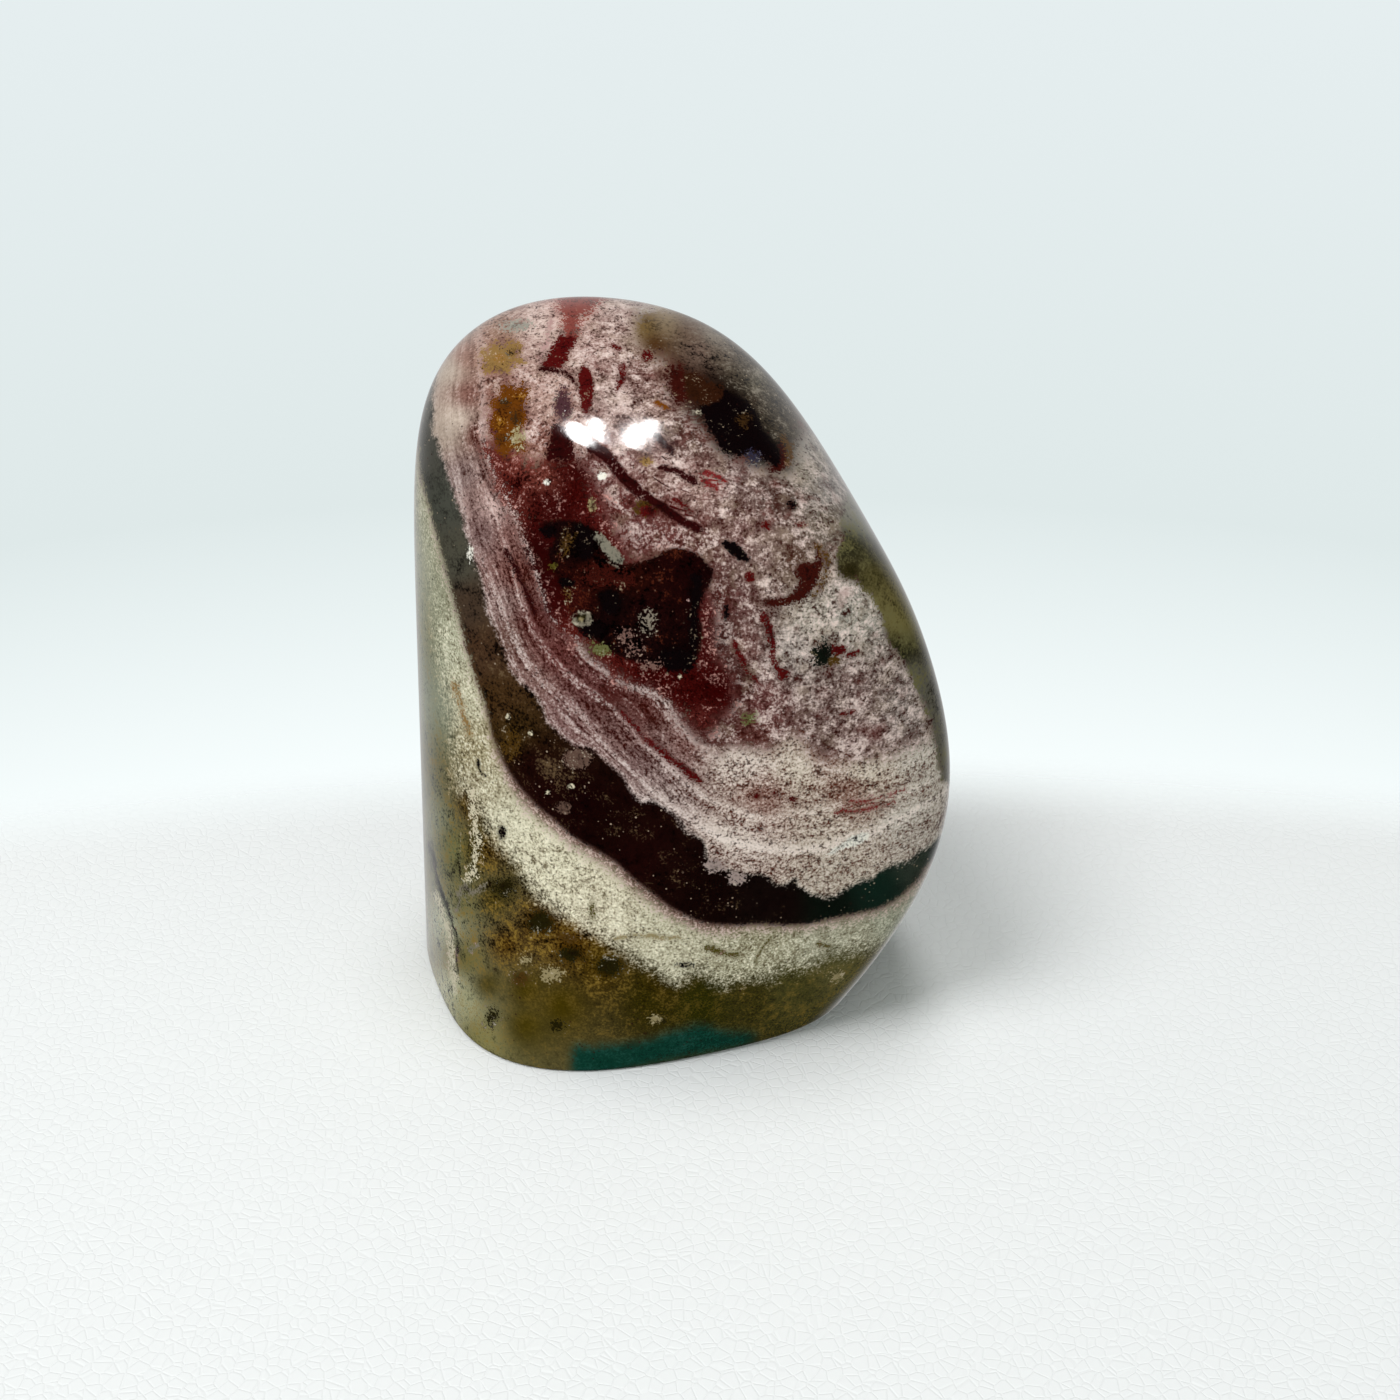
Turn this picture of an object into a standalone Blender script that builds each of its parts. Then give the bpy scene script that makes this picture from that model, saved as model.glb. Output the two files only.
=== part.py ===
"""Ocean jasper freeform: one polished stone that stands on its own flat, sawn base.

The form follows the way such a stone is cut. A few broad faces are ground one after another,
and the edges between them are then rolled away until only soft shoulders are left. Here each
face is a direction and a distance from the stone's heart, and one rounding rule blends them.

The model is in metres, with +Z up. The banded show face looks along -Y. The origin is on the
base, under the middle of the stone's bounding box.
"""

import math

import bmesh
import bpy
import numpy as np

MILLIMETRE = 0.001

# The ground faces. An azimuth of 0 looks along -Y and 90 looks along +X, an elevation of 90 looks
# straight up, and the distance is measured from the heart to the middle of the face.
# Name: (azimuth in degrees, elevation in degrees, distance in millimetres)
FACES = {
    "front": (13, -4, 18.5),
    "front_low": (21, -22, 31.5),
    "front_left": (-18, 7, 20.5),
    "left": (-68, 1, 38),
    "left_back": (-137, 5, 45.5),
    "back": (167, 6, 29.5),
    "back_right": (118, 12, 30.5),
    "right": (84, -11, 36),
    "right_slope": (101, 24, 30),
    "right_under": (82, -37, 44.5),
    "crown": (147, 86, 67.5),
    "crown_left": (-32, 50, 73.5),
    "crown_front": (12, 62, 40.5),
}

# The heart is the point that the faces are measured from, in millimetres.
HEART = np.array([7.5, -10, 46.5])

# The higher the sharpness, the flatter the faces and the tighter the shoulders between them.
SHARPNESS = 6

# The edge of the base is only broken, so that it doesn't chip.
RIM_RADIUS = 0.8

COLUMNS = 72
BASE_RINGS = 3
RIM_RINGS = 3
WALL_RINGS = 32
RINGS = BASE_RINGS + RIM_RINGS + WALL_RINGS

# Samples along one profile before it is shared out into even steps
PROFILE_SAMPLES = 400

# The mean colour of the stone's pink, dark red, cream and olive layers, in linear light
STONE_COLOUR = (0.17, 0.095, 0.075, 1)
STONE_ROUGHNESS = 0.12


def direction(azimuth, elevation):
    """Return the unit vector or vectors that look along an azimuth and elevation in degrees."""
    azimuth, elevation = np.radians(azimuth), np.radians(elevation)
    level = np.cos(elevation)
    return np.stack([np.sin(azimuth) * level, -np.cos(azimuth) * level, np.sin(elevation)], axis=-1)


def reach(ray):
    """Return how far the stone goes from its heart along each ray, in millimetres.

    A ray's share of a face is its cosine to that face over the face's distance. The shares are
    joined in a rounded norm, so the nearest face rules and its neighbours soften the edge.
    """
    azimuth, elevation, distance = np.array(list(FACES.values()), dtype=float).T
    shares = ray @ direction(azimuth, elevation).T / distance
    return (np.maximum(shares, 0) ** SHARPNESS).sum(axis=-1) ** (-1 / SHARPNESS)


def surface_point(azimuth, elevation):
    """Return the point or points of the uncut form that are seen from the heart in a direction."""
    ray = direction(azimuth, elevation)
    return HEART + ray * reach(ray)[..., None]


def elevation_at_height(azimuth, height):
    """Return the elevation, seen from the heart, at which the wall passes a height near the base."""
    low, high = -88.0, 0.0
    for _ in range(40):
        middle = (low + high) / 2
        if surface_point(azimuth, middle)[2] < height:
            low = middle
        else:
            high = middle
    return high


def rim_curve(inner, corner, outer, share):
    """Return the point at a share from 0 to 1 along the rounded edge from the base to the wall."""
    return (1 - share) ** 2 * inner + 2 * share * (1 - share) * corner + share**2 * outer


def wall_points(azimuth, lowest):
    """Return evenly spaced points up the wall, from the top of the rim to the crown."""
    elevation = np.linspace(lowest, 90, PROFILE_SAMPLES)
    points = surface_point(np.full_like(elevation, azimuth), elevation)
    steps = np.linalg.norm(np.diff(points, axis=0), axis=1)
    length = np.concatenate([[0], np.cumsum(steps)])
    wanted = np.linspace(0, length[-1], WALL_RINGS + 1)
    return surface_point(np.full_like(wanted, azimuth), np.interp(wanted, length, elevation))


def column_points(azimuth):
    """Return the points of one column, from the middle of the base to the crown."""
    base_middle = np.array([HEART[0], HEART[1], 0])
    corner = surface_point(azimuth, elevation_at_height(azimuth, 0))
    corner[2] = 0
    outward = (corner - base_middle) / np.linalg.norm(corner - base_middle)
    inner = corner - outward * RIM_RADIUS
    lowest = elevation_at_height(azimuth, RIM_RADIUS)
    wall = wall_points(azimuth, lowest)

    points = [base_middle + (inner - base_middle) * ring / BASE_RINGS for ring in range(BASE_RINGS)]
    points += [rim_curve(inner, corner, wall[0], ring / RIM_RINGS) for ring in range(RIM_RINGS)]
    points += list(wall)
    return np.array(points)


def stone_material():
    """Return the stone's plain material: a close-grained silica rock with a high polish."""
    material = bpy.data.materials.new("Polished jasper")
    material.use_nodes = True
    shader = material.node_tree.nodes["Principled BSDF"]
    shader.inputs["Base Color"].default_value = STONE_COLOUR
    shader.inputs["Roughness"].default_value = STONE_ROUGHNESS
    shader.inputs["Metallic"].default_value = 0
    material.diffuse_color = STONE_COLOUR
    return material


def make_stone():
    """Make the stone: a sphere whose columns and rings are laid along the ground form."""
    mesh = bpy.data.meshes.new("stone")
    sphere = bmesh.new()
    bmesh.ops.create_uvsphere(sphere, u_segments=COLUMNS, v_segments=RINGS, radius=1)

    columns = [column_points(360 * column / COLUMNS) for column in range(COLUMNS)]
    for vertex in sphere.verts:
        latitude = math.asin(max(-1, min(1, vertex.co.z)))
        ring = round((latitude / math.pi + 0.5) * RINGS)
        turn = math.atan2(vertex.co.x, -vertex.co.y) / (2 * math.pi)
        column = round(turn * COLUMNS) % COLUMNS
        vertex.co = columns[column][ring] * MILLIMETRE

    # The heart was placed by eye, so the form is now moved over the origin by what is left
    places = np.array([vertex.co for vertex in sphere.verts])
    middle = (places.min(axis=0) + places.max(axis=0)) / 2
    bmesh.ops.translate(sphere, verts=sphere.verts, vec=(-middle[0], -middle[1], 0))

    sphere.to_mesh(mesh)
    sphere.free()
    mesh.shade_smooth()
    mesh.set_sharp_from_angle(angle=math.radians(50))
    mesh.materials.append(stone_material())
    return bpy.data.objects.new("stone", mesh)


def clear_scene():
    """Remove every object that the scene starts with."""
    for thing in list(bpy.data.objects):
        bpy.data.objects.remove(thing, do_unlink=True)


def main():
    """Build the stone in a collection of its own."""
    clear_scene()
    collection = bpy.data.collections.new("Ocean jasper freeform")
    bpy.context.scene.collection.children.link(collection)
    collection.objects.link(make_stone())


main()
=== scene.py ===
# %% [markdown]
# # A polished freeform of ocean jasper
# This lesson dresses one stone: a lump of layered silica rock that was ground to soft faces, polished all
# over and cut flat underneath, so that it stands. The shape is simple and the rock is not, so most of the
# lesson is about the rock: its bowl of coloured layers, its broken dark patches, its veins and its grain.
#
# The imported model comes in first. It fixes where everything is, in metres, with +Z up and the banded show
# face towards -Y.

import math

import bpy
import mathutils
import numpy as np
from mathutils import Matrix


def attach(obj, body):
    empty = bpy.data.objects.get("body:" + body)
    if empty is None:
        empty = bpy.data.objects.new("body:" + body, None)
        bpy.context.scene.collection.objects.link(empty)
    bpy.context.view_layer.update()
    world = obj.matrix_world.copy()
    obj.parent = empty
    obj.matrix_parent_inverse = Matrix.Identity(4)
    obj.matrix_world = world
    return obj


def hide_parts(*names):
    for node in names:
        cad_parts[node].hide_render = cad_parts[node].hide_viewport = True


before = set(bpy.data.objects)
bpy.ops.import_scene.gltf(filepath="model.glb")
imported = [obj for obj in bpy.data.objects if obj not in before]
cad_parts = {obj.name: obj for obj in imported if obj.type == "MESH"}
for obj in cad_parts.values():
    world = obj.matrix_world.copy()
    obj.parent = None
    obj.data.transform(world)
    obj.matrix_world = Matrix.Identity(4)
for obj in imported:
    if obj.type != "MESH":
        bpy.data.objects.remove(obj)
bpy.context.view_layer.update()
MILLIMETRE = 0.001

# %% [markdown]
# ## One function for colours
# Colours are easiest to read off a stone as sRGB hex values, but light adds up in linear values. One
# function turns the first into the second, for a single colour or for a whole list.

# %% Colours
def linear(hex_colour):
    """Turn an sRGB hex colour such as "cdc5ab" into linear red, green, blue and an alpha of 1.

    Each channel under 0.04045 is divided by 12.92. The others are raised to the power of 2.4, after
    0.055 is added and the sum is divided by 1.055.
    """
    channels = np.array([int(hex_colour[start : start + 2], 16) / 255 for start in (0, 2, 4)])
    low = channels / 12.92
    high = ((channels + 0.055) / 1.055) ** 2.4
    return (*np.where(channels < 0.04045, low, high).tolist(), 1.0)


print("cream in linear light:", [round(value, 3) for value in linear("cdc5ab")])

# %% [markdown]
# ## The camera comes first
# The layers of this stone are placed by where they are seen, so the camera has to be known before the
# stone is made. It looks down on the stone by 30 degrees from about 320 mm away, as somebody does who
# photographs a thing on a table. A short function gives the place in the 1400 pixel picture at which any
# point is seen. Distances in the picture are then turned into millimetres on the stone.

# %% Camera, in millimetres, degrees and pixels
CAMERA_PLACE = np.array([3.95, -255.61, 192.03])
CAMERA_DROP = 30
PICTURE_SIDE = 1400
LENS = 54
SENSOR = 36
FOCAL_PIXELS = LENS / SENSOR * PICTURE_SIDE

ACROSS = np.array([1.0, 0.0, 0.0])
AHEAD = np.array([0.0, math.cos(math.radians(CAMERA_DROP)), -math.sin(math.radians(CAMERA_DROP))])
UPWARD = np.array([0.0, math.sin(math.radians(CAMERA_DROP)), math.cos(math.radians(CAMERA_DROP))])
PIXELS_PER_MM = 7.0


def seen_at(points):
    """Return where each point is seen, in pixels from the picture's top left corner.

    The offset from the camera, along the picture's width and height, is divided by the distance ahead
    and multiplied by the focal length in pixels.
    """
    offset = points - CAMERA_PLACE
    ahead = offset @ AHEAD
    across = PICTURE_SIDE / 2 + FOCAL_PIXELS * (offset @ ACROSS) / ahead
    down = PICTURE_SIDE / 2 - FOCAL_PIXELS * (offset @ UPWARD) / ahead
    return np.stack([across, down], axis=-1)


print("focal length in pixels:", FOCAL_PIXELS)

# %% [markdown]
# ## The ground form
# A cutter grinds a few broad faces on such a stone and then rolls the edges between them away. The form
# here is the same as in the CAD model: thirteen faces, each a direction and a distance from the stone's
# heart, joined by one rounding rule. It could also be sculpted, but then the fine surface and the CAD
# solid would drift apart. With one rule they stay the same form at two finenesses.

# %% Faces of the stone: azimuth and elevation in degrees, distance in mm
FACES = {
    "front": (13, -4, 18.5),
    "front_low": (21, -22, 31.5),
    "front_left": (-18, 7, 20.5),
    "left": (-68, 1, 38),
    "left_back": (-137, 5, 45.5),
    "back": (167, 6, 29.5),
    "back_right": (118, 12, 30.5),
    "right": (84, -11, 36),
    "right_slope": (101, 24, 30),
    "right_under": (82, -37, 44.5),
    "crown": (147, 86, 67.5),
    "crown_left": (-32, 50, 73.5),
    "crown_front": (12, 62, 40.5),
}
HEART = np.array([7.5, -10, 46.5])
SHARPNESS = 6
RIM_RADIUS = 0.8
print("faces:", len(FACES))

# %% [markdown]
# The rounding rule is a sum. Every face has a say in how far out a point lies, and the sixth power makes the
# nearest face count most. Between two faces both count, which rolls the edge away.


# %% The rounding rule
def direction(azimuth, elevation):
    """Return unit vectors for an azimuth (0 is -Y, 90 is +X) and an elevation, both in degrees.

    The sine and cosine of the azimuth share out the level part, which is the cosine of the elevation.
    """
    azimuth, elevation = np.radians(azimuth), np.radians(elevation)
    level = np.cos(elevation)
    return np.stack([np.sin(azimuth) * level, -np.cos(azimuth) * level, np.sin(elevation)], axis=-1)


FACE_TURN, FACE_TILT, FACE_DISTANCE = np.array(list(FACES.values()), dtype=float).T
FACE_VECTORS = direction(FACE_TURN, FACE_TILT) / FACE_DISTANCE[:, None]


def fullness(offsets):
    """Return how full the form is at offsets from its heart: 1 on the surface and less inside.

    An offset's share of a face is its length along that face's direction over the face's distance. The
    shares are raised to the sixth power and added up.
    """
    return (np.maximum(offsets @ FACE_VECTORS.T, 0) ** SHARPNESS).sum(axis=-1)


def surface_point(azimuth, elevation):
    """Return the surface point seen from the heart in a direction: the ray over its fullness's 6th root."""
    ray = direction(azimuth, elevation)
    return HEART + ray * (fullness(ray) ** (-1 / SHARPNESS))[..., None]


print("front of the stone at its heart's height:", surface_point(0.0, 0.0).round(1))

# %% [markdown]
# ## A net of columns and rings
# The surface is one grid. Its columns run from the middle of the base, out to the rim and up the wall to
# the crown, and its rings run round the stone. The layers are carried by the grid's points, so the points
# have to be close together: about 0.4 mm apart on the show face, and wider on the back, where nothing is
# as fine. The columns are therefore shared out along the waist with more weight on the show side.

# %% Columns
COLUMNS = 372
BASE_RINGS = 10
RIM_RINGS = 4
WALL_RINGS = 252
PROFILE_SAMPLES = 900
WAIST_SAMPLES = 3601
SHOW_WEIGHT = 2.6
SHOW_AZIMUTH = 3
SHOW_EDGE = (-0.35, 0.15)
HALVINGS = 40


def smooth_step(value, low, high):
    """Return 0 below low, 1 above high, and 3 t squared minus 2 t cubed in between."""
    share = np.clip((value - low) / (high - low), 0, 1)
    return share * share * (3 - 2 * share)


def column_azimuths():
    """Return azimuths that cut the waist into parts of equal weight, where the show side weighs more."""
    azimuth = np.linspace(0, 360, WAIST_SAMPLES)
    steps = np.linalg.norm(np.diff(surface_point(azimuth, 0 * azimuth), axis=0), axis=1)
    facing = np.cos(np.radians((azimuth[1:] + azimuth[:-1]) / 2 - SHOW_AZIMUTH))
    weight = steps * (1 + (SHOW_WEIGHT - 1) * smooth_step(facing, *SHOW_EDGE))
    length = np.concatenate([[0], np.cumsum(weight)])
    return np.interp(np.arange(COLUMNS) / COLUMNS * length[-1], length, azimuth)


print("columns:", COLUMNS, " first steps in degrees:", np.diff(column_azimuths()[:4]).round(2))

# %% [markdown]
# The rings are shared out evenly up each column, by the length of the wall and not by angle. A net with even
# angles would crowd at the crown and leave wide gaps where the wall runs away from the heart.


# %% Rings up the wall
def elevation_at_height(azimuth, height):
    """Return the elevation at which each column's wall passes a height, found by halving."""
    low = np.full_like(azimuth, -88.0)
    high = np.zeros_like(azimuth)
    for _ in range(HALVINGS):
        middle = (low + high) / 2
        under = surface_point(azimuth, middle)[:, 2] < height
        low = np.where(under, middle, low)
        high = np.where(under, high, middle)
    return high


def wall_points(azimuth):
    """Return every column's wall, from the rim to just under the crown, in rings of equal length.

    Each column is sampled finely and its length added up. The elevations at equal shares of the length
    are then read off for all columns at once, with the columns laid end to end on one number line.
    """
    lowest = elevation_at_height(azimuth, RIM_RADIUS)
    elevation = lowest + (90 - lowest) * np.linspace(0, 1, PROFILE_SAMPLES)[:, None]
    points = surface_point(np.broadcast_to(azimuth, elevation.shape), elevation)
    length = np.linalg.norm(np.diff(points, axis=0), axis=-1).cumsum(axis=0)
    length = np.concatenate([0 * length[:1], length]) / length[-1]
    column = np.arange(COLUMNS)
    wanted = np.linspace(0, 1, WALL_RINGS + 1)[:-1, None] / 2 + column
    places = np.interp(wanted.T.ravel(), (length / 2 + column).T.ravel(), elevation.T.ravel())
    elevation = places.reshape(COLUMNS, WALL_RINGS).T
    return surface_point(np.broadcast_to(azimuth, elevation.shape), elevation)


print("the wall starts at an elevation of", elevation_at_height(np.zeros(1), RIM_RADIUS).round(1))

# %% [markdown]
# The base, its rim and the wall are then joined into one grid. The saw leaves a sharp edge round the base
# that chips at once, so a cutter breaks it, and here the rim has a small rounding too.


# %% The whole grid
def stone_grid():
    """Return the grid of points, ring by ring, without its two end points.

    The base is a straight run from its middle to 0.8 mm short of the rim. The rim is a quadratic curve
    with the sharp corner as its middle handle. The wall follows.
    """
    azimuth = column_azimuths()
    middle = np.array([HEART[0], HEART[1], 0])
    corner = surface_point(azimuth, elevation_at_height(azimuth, 0))
    corner[:, 2] = 0
    outward = (corner - middle) / np.linalg.norm(corner - middle, axis=1, keepdims=True)
    inner = corner - outward * RIM_RADIUS
    wall = wall_points(azimuth)
    base = middle + (inner - middle) * (np.arange(1, BASE_RINGS) / BASE_RINGS)[:, None, None]
    share = (np.arange(RIM_RINGS) / RIM_RINGS)[:, None, None]
    rim = (1 - share) ** 2 * inner + 2 * share * (1 - share) * corner + share**2 * wall[0]
    return np.concatenate([base, rim, wall])


grid = stone_grid()
rings = len(grid)
crown = surface_point(np.array([0.0]), np.array([90.0]))
base_middle = np.array([[HEART[0], HEART[1], 0]])
points = np.concatenate([grid.reshape(-1, 3), base_middle, crown])
box_middle = (points.min(axis=0) + points.max(axis=0)) / 2 * np.array([1, 1, 0])
print("points:", len(points), " triangles:", 2 * COLUMNS * rings, " box middle:", box_middle.round(2))

# %% [markdown]
# ## Faces that look outwards
# Each square of the grid becomes a face, and the two ends are closed with a fan of triangles to one
# point. The corners are listed anticlockwise as seen from outside, so that the faces look outwards and
# nothing has to be turned afterwards.


# %% Mesh of the stone
def stone_mesh():
    """Return the closed mesh: quads between neighbouring rings and columns, and a fan at each end."""
    corners = np.arange(rings * COLUMNS).reshape(rings, COLUMNS)
    beside = np.roll(corners, -1, axis=1)
    quads = np.stack([corners[:-1], beside[:-1], beside[1:], corners[1:]], axis=-1).reshape(-1, 4)
    bottom = np.stack([np.full(COLUMNS, len(points) - 2), beside[0], corners[0]], axis=-1)
    top = np.stack([corners[-1], beside[-1], np.full(COLUMNS, len(points) - 1)], axis=-1)
    mesh = bpy.data.meshes.new("polished_stone")
    mesh.from_pydata((points - box_middle) * MILLIMETRE, [], quads.tolist() + bottom.tolist() + top.tolist())
    mesh.shade_smooth()
    return mesh


mesh = stone_mesh()
print("faces in the mesh:", len(mesh.polygons))

# %% [markdown]
# ## How deep a point lies behind the show face
# The rock's layers go right through the stone, so what the front shows also sets the sides and the back.
# For every point, the sight line from the camera is followed to where it enters the stone. The way from
# there to the point is its depth. It is 0 on everything that the camera sees, and up to 67 mm behind.

# %% Depth, in mm
SIGHT_STEP = 1.5
SIGHT_STEPS = 84
SIGHT_HALVINGS = 12


def depth_behind_front(points):
    """Return the length of each sight line inside the stone, up to the point itself.

    The sight line is stepped along in small steps. The first step that is inside is then refined by
    halving, and its distance is taken from the point's own.
    """
    sight = points - CAMERA_PLACE
    distance = np.linalg.norm(sight, axis=1)
    sight = sight / distance[:, None]
    start = distance - SIGHT_STEPS * SIGHT_STEP
    tried = [start + step * SIGHT_STEP for step in range(SIGHT_STEPS)]
    inside = np.stack([fullness(CAMERA_PLACE + sight * way[:, None] - HEART) < 1 for way in tried])
    first = np.where(inside.any(axis=0), inside.argmax(axis=0), SIGHT_STEPS)
    high = start + first * SIGHT_STEP
    low = high - SIGHT_STEP
    for _ in range(SIGHT_HALVINGS):
        middle = (low + high) / 2
        within = fullness(CAMERA_PLACE + sight * middle[:, None] - HEART) < 1
        high = np.where(within, middle, high)
        low = np.where(within, low, middle)
    return np.clip(distance - high, 0, None)


depth = depth_behind_front(points)
print("seen points:", int((depth < 0.5).sum()), " deepest:", round(float(depth.max()), 1), "mm")

# %% [markdown]
# Behind the front, the layers don't run straight back. They drift a little to one side and wander, as
# layers in a rock do, so the back isn't a mirror of the front. The wander sets in over the first 26 mm of
# depth. On the part that the camera sees, every point stays at the place where it is seen.

# %% Drift and wander, in mm
HIDDEN_FROM = 2
HIDDEN_FULLY = 26
DRIFT_ACROSS = -0.22
DRIFT_DOWN = 0.16
WANDER = 9
WANDER_WAVE = 60


def wander(points, wavelength, seed):
    """Return a smooth field between about -1 and 1: six sine waves in seeded directions, added up."""
    chance = np.random.default_rng(seed)
    directions = chance.normal(size=(6, 3))
    directions /= np.linalg.norm(directions, axis=1, keepdims=True)
    pitch = 2 * math.pi / (wavelength * chance.uniform(0.7, 1.5, size=6))
    return np.sin(points @ (directions * pitch[:, None]).T + chance.uniform(0, 6.28, size=6)).sum(axis=1) / 3


hidden = smooth_step(depth, HIDDEN_FROM, HIDDEN_FULLY)
across_drift = DRIFT_ACROSS * depth + WANDER * hidden * wander(points, WANDER_WAVE, seed=3)
down_drift = DRIFT_DOWN * depth + WANDER * hidden * wander(points, WANDER_WAVE, seed=4)
place = seen_at(points) + PIXELS_PER_MM * np.stack([across_drift, down_drift], axis=-1)
print("furthest drift in mm:", round(float(np.hypot(across_drift, down_drift).max()), 1))

# %% [markdown]
# ## Lines through the rock
# The layers are sheets that filled a hollow one after another, and the cut shows them as nested lines
# like the side of a bowl: down the left, round the bottom and out to the right. Six of these lines were
# read off the stone, each with only the points that its shape needs, and a smooth curve is laid through
# each one. They go on past the outline at both ends, because the layers do too.

# %% Layer lines, in pixels of the picture
LAYER_LINES = {
    "cream": [
        (380, 330), (404, 440), (417, 510), (429, 567), (435, 622), (443, 673), (449, 704), (455, 745),
        (458, 786), (470, 792), (478, 807), (490, 827), (502, 845), (521, 866), (531, 884), (543, 898),
        (558, 911), (576, 921), (600, 935), (617, 945), (635, 958), (656, 966), (675, 981), (697, 970),
        (722, 982), (734, 976), (767, 976), (779, 968), (803, 966), (832, 953), (871, 947), (930, 930),
        (1010, 890),
    ],
    "dark": [
        (396, 320), (409, 400), (418, 444), (419, 464), (423, 484), (429, 505), (435, 527), (443, 557),
        (451, 588), (460, 622), (468, 653), (476, 680), (486, 708), (494, 741), (507, 768), (519, 786),
        (535, 804), (553, 819), (574, 837), (594, 849), (615, 862), (635, 880), (656, 896), (670, 907),
        (686, 915), (705, 923), (732, 925), (762, 924), (795, 925), (820, 921), (844, 916), (875, 909),
        (895, 900), (909, 888), (922, 874), (930, 862), (1000, 800),
    ],
    "mauve": [
        (452, 300), (442, 345), (434, 385), (433, 429), (439, 444), (445, 464), (451, 484), (460, 510),
        (468, 535), (473, 559), (483, 582), (488, 610), (498, 633), (507, 661), (522, 684), (539, 700),
        (549, 722), (562, 736), (576, 745), (590, 748), (604, 757), (625, 778), (637, 798), (657, 803),
        (676, 814), (686, 828), (703, 840), (711, 862), (748, 874), (762, 873), (779, 884), (795, 878),
        (803, 888), (824, 897), (836, 895), (850, 886), (869, 878), (881, 870), (897, 863), (911, 860),
        (922, 849), (936, 839), (1000, 780),
    ],
    "lower wave": [
        (465, 300), (452, 370), (447, 430), (456, 490), (468, 541), (494, 592), (511, 639), (535, 678),
        (564, 704), (600, 743), (635, 776), (681, 817), (722, 841), (762, 849), (813, 851), (870, 835),
        (940, 795), (1000, 750),
    ],
    "upper wave": [
        (472, 300), (457, 380), (462, 430), (478, 480), (502, 531), (523, 612), (543, 649), (574, 680),
        (615, 712), (645, 745), (676, 776), (710, 800), (757, 815), (813, 811), (856, 800), (905, 792),
        (960, 765), (1000, 735),
    ],
    "red": [
        (486, 290), (480, 325), (480, 358), (483, 403), (482, 433), (487, 456), (500, 482), (512, 507),
        (519, 531), (531, 559), (543, 588), (549, 612), (564, 627), (576, 639), (584, 655), (604, 669),
        (625, 682), (641, 688), (656, 690), (670, 704), (682, 724), (700, 743), (720, 755), (732, 747),
        (771, 749), (795, 735), (816, 753), (864, 761), (926, 741), (1010, 700),
    ],
}

# The height of each line in the pile of layers, in millimetres above the one that starts the mauve
PILE_HEIGHTS = {"cream": -20, "dark": -11, "mauve": 0, "lower wave": 3.5, "upper wave": 7, "red": 11}
print("layer lines:", ", ".join(f"{name} {len(line)}" for name, line in LAYER_LINES.items()))

# %% [markdown]
# ## Smooth curves through a few corners
# A line in a rock has no corners, so a curve is laid through the ones in the list. It is of the kind that
# passes through each corner, and so the corners can be read straight off the stone.

# %% Curves
CURVE_STEPS = 4


def curve_through(corners, closed=False):
    """Return a smooth curve through the corners: between two of them it is the cubic that also heeds the
    corner before and the corner after (a Catmull-Rom curve)."""
    corners = np.array(corners, dtype=float)
    if closed:
        padded = np.concatenate([corners[-1:], corners, corners[:2]])
    else:
        padded = np.concatenate([2 * corners[:1] - corners[1:2], corners, 2 * corners[-1:] - corners[-2:-1]])
    before, first, second, after = padded[:-3, None], padded[1:-2, None], padded[2:-1, None], padded[3:, None]
    share = (np.arange(CURVE_STEPS) / CURVE_STEPS)[:, None]
    curve = first + share * (second - before) / 2
    curve = curve + share**2 * (2 * before - 5 * first + 4 * second - after) / 2
    curve = curve + share**3 * (3 * first - before - 3 * second + after) / 2
    return np.concatenate([curve.reshape(-1, 2), padded[-2:-1]])


print("straight steps along the cream line:", len(curve_through(LAYER_LINES["cream"])) - 1)

# %% [markdown]
# ## Distances to a drawn line
# Every mark on the stone is a distance. For a layer line it is how far a point lies past the line, and
# for an outline how far inside. The material later turns a distance into an edge, and adds a little noise
# to it first, so that the edge is as ragged as a real one. A distance is smooth, so the grid's points
# carry it well, while a colour painted on the points would show the grid.


# %% Distances
def distance_to(places, curve):
    """Return each place's distance to a curve: the least distance to any of its straight steps."""
    nearest = np.full(len(places), 1e9)
    for start, end in zip(curve[:-1], curve[1:]):
        step = end - start
        share = np.clip((places - start) @ step / max(step @ step, 1e-9), 0, 1)
        offset = places - start - share[:, None] * step
        nearest = np.minimum(nearest, (offset * offset).sum(axis=1))
    return np.sqrt(nearest)


def is_inside(places, curve):
    """Return whether a line from each place to the far right crosses the closed curve an odd number of
    times."""
    odd = np.zeros(len(places), dtype=bool)
    for (x1, y1), (x2, y2) in zip(curve, np.roll(curve, -1, axis=0)):
        if y1 != y2:
            level = (places[:, 1] < y1) != (places[:, 1] < y2)
            odd ^= level & (places[:, 0] < x1 + (places[:, 1] - y1) * (x2 - x1) / (y2 - y1))
    return odd


def past_line(corners):
    """Return the distance in mm past a layer line, which is less than 0 on the side of the base."""
    curve = curve_through(corners)
    upper_side = np.concatenate([curve, [(3000, curve[-1][1]), (3000, -2000), (curve[0][0], -2000)]])
    side = np.where(is_inside(place, upper_side), 1, -1)
    return side * distance_to(place, curve) / PIXELS_PER_MM


line_distances = {name: past_line(corners) for name, corners in LAYER_LINES.items()}
print("points past the mauve line:", int((line_distances["mauve"] > 0).sum()))

# %% [markdown]
# ## The height in the pile of layers
# The mauve and cream layers are made of many thinner ones. To draw those, each point gets a height in the
# pile: it is fixed on every line and runs evenly from one line to the next. Fine streaks that follow
# this height then bend with the layers.


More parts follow.
